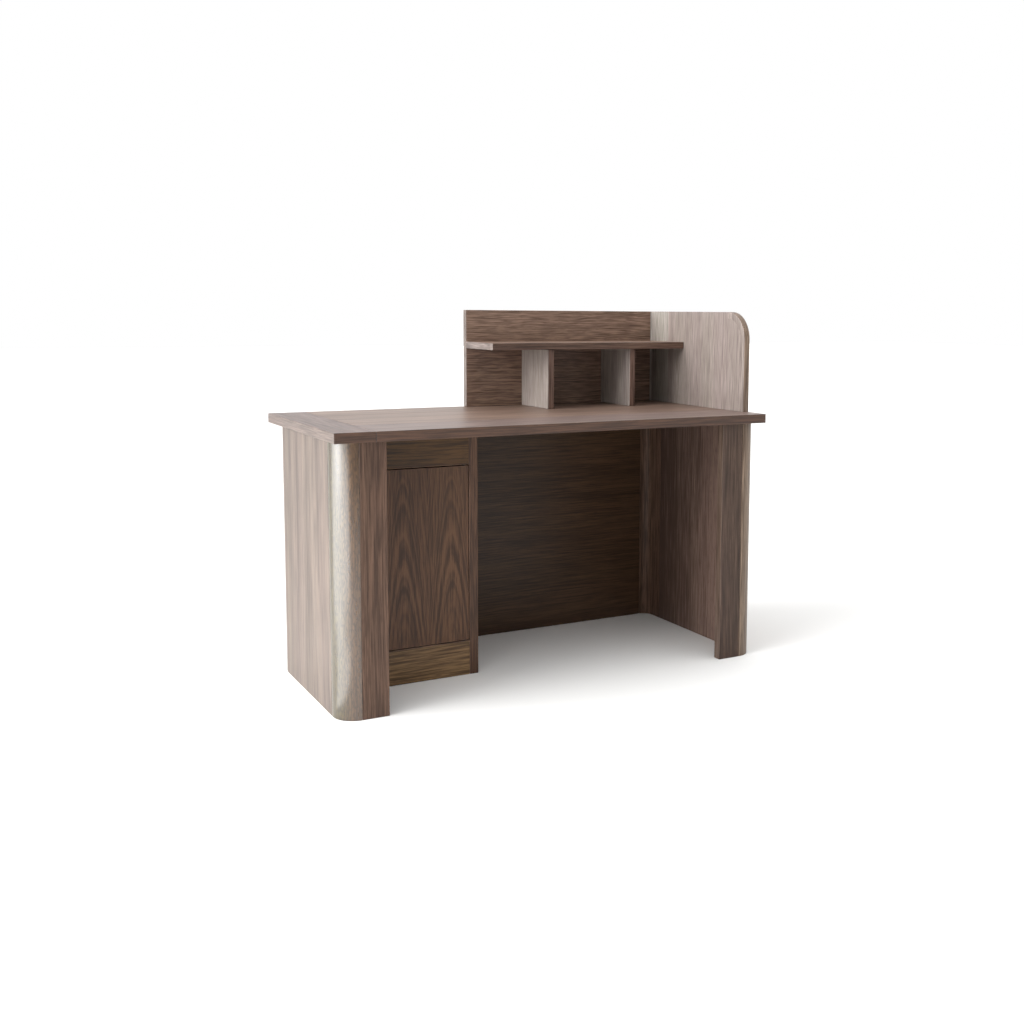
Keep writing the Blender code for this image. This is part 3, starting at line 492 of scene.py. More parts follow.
# Sockets of a Mix node by number, because those for numbers, vectors and colours share their names
MIX_SHARE = 0
NUMBER_A, NUMBER_B, NUMBER_MIX = 2, 3, 0
VECTOR_A, VECTOR_B, VECTOR_MIX = 4, 5, 1
COLOUR_A, COLOUR_B, COLOUR_MIX = 6, 7, 2

# Tones of a veneer, as shares of its middle tone
DARK_SHARE = (0.52, 0.49, 0.47)
MIDDLE_SHARE = (1, 1, 1)
LIGHT_SHARE = (1.55, 1.57, 1.58)
PORE_SHARE = (0.48, 0.44, 0.41)
ROSE_SHARE = (1.02, 0.99, 0.99)
TAN_SHARE = (1.0, 1.0, 0.97)
# Middle of a noise and of the tones, and how far the tone swings with a noise that shows in full
MIDDLE = 0.5
TONE_SWING = 1.6
# Detail of noises with fine parts in them, and of plain ones
FINE_DETAIL = 2.0
PLAIN_DETAIL = 1.0
# How many times longer than wide the streaks and the fine lines are drawn out
STREAK_STRETCH = 24
LINE_STRETCH = 45
# How many times wider than the bands the drifts of hue are, and the noise from all rose to all tan
HUE_WIDTHS = 2
HUE_RANGE = (0.35, 0.65)
# How much noise lies between no pore and a full one
PORE_FADE = 0.14
# How much the roughness of the lacquer swings with the streaks, and the noise from least to most
SHEEN_SWING = 0.05
SHEEN_RANGE = (0.3, 0.7)
# How strong and how deep the grain's dips are in the lacquer
GRAIN_RELIEF = 0.25
GRAIN_DEPTH = 0.2 * MM
# How far from one board's wood the next board's is taken
SHEET_STEP = Vector((0.37, 0.61, 0.83))


class Figure(NamedTuple):
    """How a sheet was cut.

    The first five say how much each part of the grain shows. The others say how far the grain is drawn
    out, how large its pores are, how it wanders and climbs, how its tone slopes from edge to edge, and
    whether the sheet is crown-cut.
    """

    bands: float
    streaks: float
    lines: float
    rings: float
    pores: float
    draw: float = 1.0
    pore_size: float = 1.0
    pore_stretch: float = 12
    pore_start: float = 0.56
    wander: float = 18 * MM
    wander_width: float = 300 * MM
    wander_stretch: float = 4
    climb: float = 0.010
    slope: float = 0.0
    crown: bool = False


STRAIGHT = Figure(bands=0.6, streaks=0.8, lines=1.5, rings=0.2, pores=0.45)
FINE = Figure(bands=0.5, streaks=0.25, lines=0.9, rings=0.1, pores=0.25, draw=0.6)
BANDED = Figure(
    bands=1.1,
    streaks=0.7,
    lines=1.2,
    rings=0.2,
    pores=0.3,
    wander=30 * MM,
    wander_width=400 * MM,
)
STREAKY = Figure(
    bands=0.8,
    streaks=2.0,
    lines=1.8,
    rings=0.3,
    pores=0.55,
    wander=20 * MM,
    wander_width=250 * MM,
)
LEVEL = Figure(
    bands=0.8,
    streaks=0.5,
    lines=1.2,
    rings=0.2,
    pores=0.4,
    wander=12 * MM,
    wander_width=120 * MM,
)
# Painted shade: the tone darkens towards the back of the sheet, where the kneehole's shade is deepest
SHADED_TO_BACK = STRAIGHT._replace(slope=-3.5)
FLECKED = Figure(
    bands=0.3,
    streaks=0.4,
    lines=1.0,
    rings=0.1,
    pores=1.0,
    draw=0.7,
    pore_size=1.4,
    pore_stretch=4,
    pore_start=0.46,
)
WAVY = Figure(
    bands=0.6,
    streaks=0.4,
    lines=1.4,
    rings=0.8,
    pores=0.5,
    draw=0.6,
    wander=24 * MM,
    wander_width=70 * MM,
    climb=0.020,
)
CROWN = Figure(
    bands=0.6,
    streaks=0.6,
    lines=1.3,
    rings=1.15,
    pores=0.45,
    wander=12 * MM,
    wander_width=100 * MM,
    wander_stretch=3,
    climb=0.093,
    crown=True,
)
# Each veneer that isn't plain straight grain
FIGURES = {
    "field": BANDED,
    "side": BANDED,
    "plinth": STREAKY,
    "rail": STREAKY,
    "door": CROWN,
    "screen": WAVY,
    "kneehole": LEVEL,
    "kneehole_end": SHADED_TO_BACK,
    "post": FLECKED,
    "side_screen": FINE,
    "screen_corner": FINE,
    "divider": FINE,
}
# Each veneer whose lacquer isn't satin
LACQUERS = {
    "field": "polish",
    "border": "polish",
    "front_border": "polish",
    "side": "polish",
    "side_screen": "polish",
    "screen_corner": "polish",
    "divider": "polish",
    "kneehole_corner": "matt",
    "kneehole_end": "matt",
    "post": "post_gloss",
}


def lay_sheets(tree, cut, along, across, faces):
    """Give each point's place in the wood of its sheet, and the share that each other sheet has there."""
    place = add_node(tree, "ShaderNodeTexCoord", {}, "Object")
    normal = add_node(tree, "ShaderNodeTexCoord", {}, "Normal")
    shares = []
    for face in faces:
        facing = add_node(
            tree, "ShaderNodeVectorMath", {0: normal, 1: face.way}, "Value", operation="DOT_PRODUCT"
        )
        share = add_node(
            tree,
            "ShaderNodeMapRange",
            {"Value": facing, "From Min": face.nearness, "From Max": face.nearness + face.fade},
        )
        shares.append(share)
        turn = face.grain.cross(along)
        # An edge that looks across a crown-cut sheet would show its growth lines as bands
        if cut.crown and face.way.cross(across).length == 0:
            turn = along
        if turn.length > 0:
            turned = add_node(
                tree, "ShaderNodeMapping", {"Vector": place, "Rotation": turn * QUARTER_TURN}
            )
            place = add_node(
                tree,
                "ShaderNodeMix",
                {MIX_SHARE: share, VECTOR_A: place, VECTOR_B: turned},
                VECTOR_MIX,
                data_type="VECTOR",
            )
    return place, shares


def draw_grain(tree, place, cut, along, across, seed):
    """Give the noise of each part of the grain, and the distance across the sheet or from the heart."""
    look = bpy.context.scene.desk_veneer
    along_only = Vector([abs(value) for value in along])
    across_only = ALL_AXES - along_only
    offset = SHEET_STEP * seed
    slow = add_node(
        tree,
        "ShaderNodeMapping",
        {"Vector": place, "Location": offset, "Scale": across_only + along_only / cut.wander_stretch},
    )
    drift = add_node(
        tree,
        "ShaderNodeTexNoise",
        {"Vector": slow, "Scale": 1 / cut.wander_width, "Detail": FINE_DETAIL},
        "Color",
    )
    drift = add_node(
        tree, "ShaderNodeVectorMath", {0: drift, 1: ALL_AXES * MIDDLE}, operation="SUBTRACT"
    )
    swung = add_node(
        tree,
        "ShaderNodeVectorMath",
        {0: drift, 1: across_only * cut.wander, 2: place},
        operation="MULTIPLY_ADD",
    )

    noises = {}
    for part, width, stretch, detail in (
        ("bands", look.band_width, STREAK_STRETCH, FINE_DETAIL),
        ("streaks", look.streak_width, STREAK_STRETCH * cut.draw, FINE_DETAIL),
        ("lines", look.line_width, LINE_STRETCH * cut.draw, PLAIN_DETAIL),
        ("pores", look.pore_width * cut.pore_size, cut.pore_stretch, PLAIN_DETAIL),
        ("hue", look.band_width * HUE_WIDTHS, STREAK_STRETCH, PLAIN_DETAIL),
    ):
        drawn = add_node(
            tree,
            "ShaderNodeMapping",
            {"Vector": swung, "Location": offset, "Scale": across_only + along_only / stretch},
        )
        noises[part] = add_node(
            tree, "ShaderNodeTexNoise", {"Vector": drawn, "Scale": 1 / width, "Detail": detail}, "Fac"
        )

    run, span = [
        add_node(tree, "ShaderNodeVectorMath", {0: swung, 1: way}, "Value", operation="DOT_PRODUCT")
        for way in (along, across)
    ]
    if cut.crown:
        middle_x = CAD_BOX[0].x + look.flitch_middle
        half = look.flitch_width / 2
        sheet = add_node(
            tree, "ShaderNodeMath", {0: span, 1: middle_x + half, 2: middle_x - half}, operation="WRAP"
        )
        aside = add_node(tree, "ShaderNodeMath", {0: sheet, 1: middle_x}, operation="SUBTRACT")
        from_heart = add_node(tree, "ShaderNodeCombineXYZ", {"X": aside, "Y": look.heart_depth})
        span = add_node(tree, "ShaderNodeVectorMath", {0: from_heart}, "Value", operation="LENGTH")
    climbed = add_node(
        tree, "ShaderNodeMath", {0: run, 1: cut.climb, 2: span}, operation="MULTIPLY_ADD"
    )
    noises["rings"] = add_node(
        tree,
        "ShaderNodeTexNoise",
        {"W": climbed, "Scale": 1 / look.ring_spacing, "Detail": FINE_DETAIL},
        "Fac",
        noise_dimensions="1D",
    )
    return noises, span


def walnut_veneer(name, tone_name, along, across, seed, faces):
    """Lacquered walnut veneer: drawn-out streaks, broad tone bands, growth lines and open pores.

    The lacquer is thin, so the grain's dips still show as faint lines in the sheen. Pores and lines are
    drawn two or three times as coarse as in real walnut, because they wouldn't show in the picture.
    """
    look = bpy.context.scene.desk_veneer
    middle = getattr(look, tone_name)
    cut = FIGURES.get(tone_name, STRAIGHT)
    material, tree, shader = new_material(name)
    place, shares = lay_sheets(tree, cut, along, across, faces)
    noises, span = draw_grain(tree, place, cut, along, across, seed)

    # The tone starts from the middle, tilted across the sheet by the figure's slope, which paints shade
    # where it is set
    tone = add_node(
        tree, "ShaderNodeMath", {0: span, 1: cut.slope, 2: MIDDLE}, operation="MULTIPLY_ADD"
    )
    for part in ("bands", "streaks", "lines", "rings"):
        swing = add_node(tree, "ShaderNodeMath", {0: noises[part], 1: MIDDLE}, operation="SUBTRACT")
        tone = add_node(
            tree,
            "ShaderNodeMath",
            {0: swing, 1: TONE_SWING * getattr(cut, part), 2: tone},
            operation="MULTIPLY_ADD",
        )
    wood = add_node(tree, "ShaderNodeValToRGB", {"Fac": tone}, "Color")
    stops = wood.node.color_ramp.elements
    stops.new(MIDDLE)
    for stop, tone_share in zip(stops, (DARK_SHARE, MIDDLE_SHARE, LIGHT_SHARE)):
        stop.color = [min(value, 1) for value in times(middle, tone_share)]
    warmth = add_node(
        tree,
        "ShaderNodeMapRange",
        {"Value": noises["hue"], "From Min": HUE_RANGE[0], "From Max": HUE_RANGE[1]},
    )
    tint = add_node(
        tree,
        "ShaderNodeMix",
        {MIX_SHARE: warmth, COLOUR_A: (*ROSE_SHARE, 1), COLOUR_B: (*TAN_SHARE, 1)},
        COLOUR_MIX,
        data_type="RGBA",
    )
    wood = add_node(
        tree,
        "ShaderNodeMix",
        {MIX_SHARE: 1.0, COLOUR_A: wood, COLOUR_B: tint},
        COLOUR_MIX,
        data_type="RGBA",
        blend_type="MULTIPLY",
    )
    pores = add_node(
        tree,
        "ShaderNodeMapRange",
        {
            "Value": noises["pores"],
            "From Min": cut.pore_start,
            "From Max": cut.pore_start + PORE_FADE,
            "To Max": cut.pores,
        },
    )
    wood = add_node(
        tree,
        "ShaderNodeMix",
        {MIX_SHARE: pores, COLOUR_A: wood, COLOUR_B: times(middle, PORE_SHARE)},
        COLOUR_MIX,
        data_type="RGBA",
    )
    # Other tones on some faces, some of which paint light or shade by the way the faces look
    for share, face in zip(shares, faces):
        shift = [other / value for other, value in zip(getattr(look, face.tone), middle)]
        wood = add_node(
            tree,
            "ShaderNodeMix",
            {MIX_SHARE: share, COLOUR_A: wood, COLOUR_B: (*shift, 1)},
            COLOUR_MIX,
            data_type="RGBA",
            blend_type="MULTIPLY",
        )

    on_post = tone_name == "post"
    sheen = look.post_sheen if on_post else look.sheen
    sheen_swing = SHEEN_SWING * min(cut.streaks, 1)
    rough = add_node(
        tree,
        "ShaderNodeMapRange",
        {
            "Value": noises["streaks"],
            "From Min": SHEEN_RANGE[0],
            "From Max": SHEEN_RANGE[1],
            "To Min": sheen - sheen_swing,
            "To Max": sheen + sheen_swing,
        },
    )
    height = add_node(
        tree, "ShaderNodeMath", {0: pores, 1: -1.0, 2: noises["streaks"]}, operation="MULTIPLY_ADD"
    )
    relief = add_node(
        tree, "ShaderNodeBump", {"Height": height, "Strength": GRAIN_RELIEF, "Distance": GRAIN_DEPTH}
    )
    gloss = getattr(look, LACQUERS.get(tone_name, "satin"))
    set_inputs(
        tree,
        shader,
        {"Base Color": wood, "Roughness": rough, "Normal": relief, "Specular IOR Level": gloss},
    )
    if on_post:
        shader.inputs["IOR"].default_value = look.post_index
    return material


class Finish(NamedTuple):
    """How far a plain material's tone and roughness swing, and how strong and deep its relief is."""

    dark: float
    light: float
    smooth: float
    rough: float
    relief: float
    depth: float


PLATED = Finish(dark=0.72, light=1, smooth=0.28, rough=0.46, relief=0.2, depth=0.05 * MM)
TURNED = Finish(dark=0.66, light=1, smooth=0.2, rough=0.42, relief=0.3, depth=0.05 * MM)
MOULDED = Finish(dark=0.8, light=1.2, smooth=0.42, rough=0.6, relief=0.3, depth=0.05 * MM)
SAWN = Finish(dark=0.62, light=1, smooth=0.6, rough=0.8, relief=0.4, depth=0.1 * MM)
# Widths of the marks in each plain material. Grit, the mould's grain and the lathe's rings are drawn
# coarser than real ones, which are too fine to show.
CLOUD_WIDTH = 4 * MM
GRIT_WIDTH = 0.5 * MM
TARNISH_WIDTH = 3 * MM
MOULD_GRAIN = 0.4 * MM
MOULD_FLOW = 12 * MM
FLECK_WIDTH = 0.8 * MM
# Detail of clouds and tarnish, which are finer in their parts than the other marks
CLOUD_DETAIL = 3.0
# Length in which a wave texture draws about three of the lathe's rings, and how far they waver
LATHE_LENGTH = 2.5 * MM
LATHE_WAVER = 0.6
# Refractive index of acetal
ACETAL_INDEX = 1.48
# Flecks of bare wood: how many times longer than wide they are, and the noise from dark to light
FLECK_STRETCH = 5
FLECK_RANGE = (0.35, 0.65)
# Thickness of one ply, and how much the plies change the flecks
PLY_THICKNESS = 1.5 * MM
PLY_SHARE = 0.3


def finish_material(tree, shader, colour, finish, tone_mark, rough_mark, relief_mark):
    """Let a material's tone, roughness and relief each follow the marks in it."""
    tone = add_node(
        tree,
        "ShaderNodeMix",
        {
            MIX_SHARE: tone_mark,
            COLOUR_A: times(colour, [finish.dark] * 3),
            COLOUR_B: times(colour, [finish.light] * 3),
        },
        COLOUR_MIX,
        data_type="RGBA",
    )
    rough = add_node(
        tree,
        "ShaderNodeMapRange",
        {"Value": rough_mark, "To Min": finish.smooth, "To Max": finish.rough},
    )
    relief = add_node(
        tree,
        "ShaderNodeBump",
        {"Height": relief_mark, "Strength": finish.relief, "Distance": finish.depth},
    )
    set_inputs(tree, shader, {"Base Color": tone, "Roughness": rough, "Normal": relief})


def zinc_plated_steel(name, colour):
    """Zinc plated steel: bright bluish grey, faintly clouded by the plating bath, with a soft sheen."""
    material, tree, shader = new_material(name)
    place = add_node(tree, "ShaderNodeTexCoord", {}, "Object")
    cloud, grit = [
        add_node(
            tree, "ShaderNodeTexNoise", {"Vector": place, "Scale": 1 / width, "Detail": detail}, "Fac"
        )
        for width, detail in ((CLOUD_WIDTH, CLOUD_DETAIL), (GRIT_WIDTH, FINE_DETAIL))
    ]
    finish_material(tree, shader, colour, PLATED, cloud, cloud, grit)
    shader.inputs["Metallic"].default_value = 1.0
    return material


def turned_brass(name, colour):
    """Turned brass: warm yellow metal with fine rings left by the lathe about its upright axis."""
    material, tree, shader = new_material(name)
    place = add_node(tree, "ShaderNodeTexCoord", {}, "Object")
    rings = add_node(
        tree,
        "ShaderNodeTexWave",
        {"Vector": place, "Scale": 1 / LATHE_LENGTH, "Distortion": LATHE_WAVER, "Detail": PLAIN_DETAIL},
        "Fac",
        bands_direction="Z",
    )
    tarnish = add_node(
        tree,
        "ShaderNodeTexNoise",
        {"Vector": place, "Scale": 1 / TARNISH_WIDTH, "Detail": CLOUD_DETAIL},
        "Fac",
    )
    finish_material(tree, shader, colour, TURNED, tarnish, tarnish, rings)
    shader.inputs["Metallic"].default_value = 1.0
    return material


def moulded_plastic(name, colour):
    """Moulded acetal: dark grey, with the even grain of a spark-eroded mould that breaks up its gloss."""
    material, tree, shader = new_material(name)
    place = add_node(tree, "ShaderNodeTexCoord", {}, "Object")
    grain, flow = [
        add_node(
            tree,
            "ShaderNodeTexNoise",
            {"Vector": place, "Scale": 1 / width, "Detail": FINE_DETAIL},
            "Fac",
        )
        for width in (MOULD_GRAIN, MOULD_FLOW)
    ]
    finish_material(tree, shader, colour, MOULDED, flow, grain, grain)
    shader.inputs["IOR"].default_value = ACETAL_INDEX
    return material


def bare_wood(name, colour, along, layer):
    """Bare sawn wood, matt and open: short dark flecks along the grain, and plies where layer isn't 0."""
    material, tree, shader = new_material(name)
    place = add_node(tree, "ShaderNodeTexCoord", {}, "Object")
    drawn = add_node(
        tree,
        "ShaderNodeMapping",
        {"Vector": place, "Scale": ALL_AXES - along + along / FLECK_STRETCH},
    )
    fleck = add_node(
        tree,
        "ShaderNodeTexNoise",
        {"Vector": drawn, "Scale": 1 / FLECK_WIDTH, "Detail": FINE_DETAIL},
        "Fac",
    )
    if layer > 0:
        height = add_node(tree, "ShaderNodeSeparateXYZ", {"Vector": place}, "Z")
        turn = add_node(
            tree, "ShaderNodeMath", {0: height, 1: math.pi / layer}, operation="MULTIPLY"
        )
        ply = add_node(tree, "ShaderNodeMath", {0: turn}, operation="SINE")
        fleck = add_node(
            tree, "ShaderNodeMath", {0: ply, 1: PLY_SHARE, 2: fleck}, operation="MULTIPLY_ADD"
        )
    lightness = add_node(
        tree,
        "ShaderNodeMapRange",
        {"Value": fleck, "From Min": FLECK_RANGE[0], "From Max": FLECK_RANGE[1]},
    )
    finish_material(tree, shader, colour, SAWN, lightness, fleck, fleck)
    return material


# Edges sharper than this are eased
HARD_ANGLE = math.radians(50)
# Edges sharper than this stay sharp in smooth shading
SMOOTH_ANGLE = math.radians(35)
# Points of a mesh that lie closer than this are one
WELD = 0.01 * MM
# Least part of an axis in the normal of a face that looks along it, and most where it looks across
ALONG_AXIS = 0.9
ACROSS_AXIS = 0.1
# Steps in the rounds of eased edges, of the rounded front edge, and of a bracket's corners and bend
EASE_STEPS = 3
NOSE_STEPS = 4
CORNER_STEPS = 6
BEND_STEPS = 5


def make_active(obj):
    """Make an object the only selected one and the active one."""
    bpy.ops.object.select_all(action="DESELECT")
    obj.select_set(True)
    bpy.context.view_layer.objects.active = obj


def start_edit(obj):
    """Open an object for editing, with no other one selected."""
    make_active(obj)
    bpy.ops.object.mode_set(mode="EDIT")


def select_parts(obj, kind, wanted):
    """Select the vertices, edges or faces of an open mesh for which wanted is true."""
    bpy.ops.mesh.select_mode(type=kind)
    bpy.ops.mesh.select_all(action="DESELECT")
    mesh = bmesh.from_edit_mesh(obj.data)
    parts = {"VERT": mesh.verts, "EDGE": mesh.edges, "FACE": mesh.faces}[kind]
    for part in parts:
        part.select_set(bool(wanted(part)))
    bmesh.update_edit_mesh(obj.data)


def finish_mesh():
    """Merge the open mesh's doubles, turn its faces outwards and leave edit mode."""
    bpy.ops.mesh.select_all(action="SELECT")
    bpy.ops.mesh.remove_doubles(threshold=WELD)
    bpy.ops.mesh.normals_make_consistent(inside=False)
    bpy.ops.object.mode_set(mode="OBJECT")


def apply_modifier(obj, kind, **settings):
    """Add a modifier with its settings and apply it."""
    make_active(obj)
    modifier = obj.modifiers.new(kind.title(), kind)
    for name, value in settings.items():
        setattr(modifier, name, value)
    bpy.ops.object.modifier_apply(modifier=modifier.name)


def ease_edges(obj, width):
    """Round the hard edges of a finished piece and shade it smooth."""
    apply_modifier(
        obj, "BEVEL", width=width, segments=EASE_STEPS, limit_method="ANGLE", angle_limit=HARD_ANGLE
    )
    bpy.ops.object.shade_smooth_by_angle(angle=SMOOTH_ANGLE)


def set_name(obj, name):
    """Name an object and its mesh."""
    obj.name = name
    obj.data.name = name


def stand_in(piece, node, body, material):
    """Dress a piece, let it ride on a body and stand for a node."""
    dress(piece, material)
    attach(piece, body)
    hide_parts(node)


def put_in_place(obj, matrix):
    """Move and turn a piece, and put its place into its mesh."""
    make_active(obj)
    obj.matrix_world = matrix
    bpy.ops.object.transform_apply(location=True, rotation=True, scale=True)


def place_piece(obj, point, way):
    """Turn a piece's Z axis to a direction and move it to a point."""
    put_in_place(obj, Matrix.Translation(point) @ way.to_track_quat("Z", "Y").to_matrix().to_4x4())


def at_front_edge(edge):
    """Whether an edge parts a side from a face that looks up or forwards."""
    normals = [face.normal for face in edge.link_faces]
    at_side = [abs(normal.x) > ALONG_AXIS for normal in normals]
    in_front = [
        abs(normal.x) < ACROSS_AXIS and normal.y < ACROSS_AXIS and normal.z > -ACROSS_AXIS
        for normal in normals
    ]
    return any(at_side) and any(in_front)


def round_front_edges(obj, width):
    """Round the two long edges of a bent board that faces up and forwards, and shade it smooth."""
    start_edit(obj)
    select_parts(obj, "EDGE", at_front_edge)
    bpy.ops.mesh.bevel(offset=width, segments=NOSE_STEPS, affect="EDGES")
    bpy.ops.object.mode_set(mode="OBJECT")
    bpy.ops.object.shade_smooth_by_angle(angle=SMOOTH_ANGLE)


def bend_board(name, foot, end, pivot, axis, angle, leg, steps):
    """Model a bent board: an end face is swept about an axis, and its last face drawn out into a leg.

    foot and end are opposite corners of the flat end face, which lies in the plane of the axis.
    """
    bpy.ops.object.select_all(action="DESELECT")
    middle = (foot + end) / 2
    size = end - foot
    bpy.ops.mesh.primitive_plane_add(size=1)
    obj = bpy.context.object
    set_name(obj, name)
    normal = axis.cross(pivot - middle).normalized()
    other = axis.cross(normal)
    turn = Matrix((other, axis, normal)).transposed().to_4x4()
    scale = Matrix.Diagonal((abs(size.dot(other)), abs(size.dot(axis)), 1, 1))
    put_in_place(obj, Matrix.Translation(middle) @ turn @ scale)
    start_edit(obj)
    bpy.ops.mesh.select_all(action="SELECT")
    bpy.ops.mesh.spin(steps=steps, angle=angle, center=pivot, axis=axis)
    if leg.length > 0:
        bpy.ops.mesh.extrude_region_move(TRANSFORM_OT_translate={"value": leg})
    finish_mesh()
    return obj


def turned_piece(name, profile, steps):
    """Turn a piece on the Z axis: a disc is drawn out along a profile of radii and heights."""
    bpy.ops.object.select_all(action="DESELECT")
    radius, height = profile[0]
    bpy.ops.mesh.primitive_circle_add(
        vertices=steps, radius=radius, fill_type="NGON", location=(0, 0, height)
    )
    obj = bpy.context.object
    set_name(obj, name)
    bpy.ops.object.transform_apply(location=True, rotation=True, scale=True)
    start_edit(obj)
    bpy.ops.mesh.select_all(action="SELECT")
    for next_radius, next_height in profile[1:]:
        bpy.ops.mesh.extrude_region_move(TRANSFORM_OT_translate={"value": (0, 0, next_height - height)})
        ratio = next_radius / radius
        bpy.ops.transform.resize(value=(ratio, ratio, 1), center_override=(0, 0, next_height))
        radius, height = next_radius, next_height
    finish_mesh()
    bpy.ops.object.shade_smooth_by_angle(angle=SMOOTH_ANGLE)
    return obj


def copy_piece(obj, name):
    """Copy a piece with its own mesh."""
    made = obj.copy()
    made.data = obj.data.copy()
    set_name(made, name)
    bpy.context.scene.collection.objects.link(made)
    return made


def join_piece(obj, other):
    """Join another piece into one."""
    make_active(obj)
    other.select_set(True)
    bpy.ops.object.join()


def cut_away(obj, cutter):
    """Cut one piece out of another and take the cutter away."""
    apply_modifier(obj, "BOOLEAN", operation="DIFFERENCE", object=cutter, solver="EXACT")
    bpy.data.objects.remove(cutter)


# Profiles as shares of a head's radius and height: a screw's pan head and the plunger's front
PAN_HEAD = ((1, 0), (1, 0.45), (0.9, 0.75), (0.72, 0.93), (0.4, 1))
PLUNGER_FRONT = ((0.5, 0), (0.8, 0.05), (0.94, 0.16), (1, 0.4))
# A screw's tip, as shares of its shank's radius and its length
TIP_RADIUS = 0.15
TIP_LENGTH = 0.2
# Reach of each arm of a cross recess, as a share of the head's radius
RECESS_REACH = 0.55


def pan_head_screw(settings):
    """Model a pan-head screw with a cross recess: its head sits on the origin, its shank goes down Z."""
    head, dome, shank = settings.screw_head, settings.screw_dome, settings.screw_shank
    profile = (
        (TIP_RADIUS * shank, -settings.screw_length),
        (shank, (TIP_LENGTH - 1) * settings.screw_length),
        (shank, 0),
        *[(radius * head, height * dome) for radius, height in PAN_HEAD],
    )
    screw = turned_piece("pan_head_screw", profile, settings.round_steps)
    reach = 2 * RECESS_REACH * head
    floor, above = dome - settings.recess_depth, 2 * dome
    for arm in ((reach, settings.recess_width), (settings.recess_width, reach)):
        bpy.ops.object.select_all(action="DESELECT")
        bpy.ops.mesh.primitive_cube_add(
            size=1, location=(0, 0, (floor + above) / 2), scale=(*arm, above - floor)
        )
        cut_away(screw, bpy.context.object)
    bpy.ops.object.shade_smooth_by_angle(angle=SMOOTH_ANGLE)
    return screw


def light_panel(name, place, width, height, light):
    """Add a flat light of an even brightness that the camera doesn't see."""
    bpy.ops.object.light_add(type="AREA", location=place)
    panel = bpy.context.object
    panel.name = name
    panel.visible_camera = False
    panel.data.shape = "RECTANGLE"
    panel.data.size = width
    panel.data.size_y = height
    panel.data.energy = light * math.pi * width * height
    return panel


class DESK_OT_veneers(bpy.types.Operator):
    """Give each flat board a veneer of its own"""

    bl_idname = "desk.veneers"
    bl_label = "Veneer the flat boards"

    def execute(self, context):
        for seed, (node, (tone, along, across)) in enumerate(VENEERED.items()):
            faces = OTHER_FACES.get(node, ())
            veneer = walnut_veneer(f"walnut veneer on {node}", tone, along, across, seed, faces)
            dress(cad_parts[node], veneer)
        return {"FINISHED"}


class DESK_OT_bent_boards(bpy.types.Operator):
    """Model the bent boards with smooth curves"""

    bl_idname = "desk.bent_boards"
    bl_label = "Bend the curved boards"

    def execute(self, context):
        settings = context.scene.desk_boards
        for seed, (node, (neighbour, inward, tone)) in enumerate(BENT_IN_PLAN.items(), len(VENEERED)):
            low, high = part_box(node)
            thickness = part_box(neighbour)[1].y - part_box(neighbour)[0].y
            radius = high.x - low.x
            leg = high.y - low.y - radius
            sign_x, sign_y = inward
            outer_x = low.x if sign_x > 0 else high.x
            outer_y = low.y if sign_y > 0 else high.y
            pivot = Vector((outer_x + sign_x * radius, outer_y + sign_y * radius, 0))
            piece = bend_board(
                f"{node}_bent",
                Vector((pivot.x, outer_y, low.z)),
                Vector((pivot.x, outer_y + sign_y * thickness, high.z)),
                pivot,
                Z,
                QUARTER_TURN * sign_x * sign_y,
                Vector((0, sign_y * leg, 0)),
                settings.arc_steps,
            )
            ease_edges(piece, settings.edge_round)
            across = Vector((sign_x, -sign_y, 0))
            faces = OTHER_FACES.get(node, ())
            veneer = walnut_veneer(f"walnut veneer on {node}", tone, Z, across, seed, faces)
            stand_in(piece, node, "desk", veneer)

        low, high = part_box(NOSE)
        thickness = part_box(NOSE_LIKE)[1].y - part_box(NOSE_LIKE)[0].y
        radius = high.y - low.y
        piece = bend_board(
            f"{NOSE}_bent",
            Vector((low.x, high.y, high.z - thickness)),
            high,
            Vector((0, high.y, high.z - radius)),
            X,
            -QUARTER_TURN,
            Vector((0, 0, low.z + radius - high.z)),
            settings.arc_steps,
        )
        round_front_edges(piece, settings.nose_round)
        seed = len(VENEERED) + len(BENT_IN_PLAN)
        edge = walnut_veneer(f"walnut edge on {NOSE}", "nose", Z, X, seed, OTHER_FACES[NOSE])
        stand_in(piece, NOSE, "desk", edge)
        return {"FINISHED"}


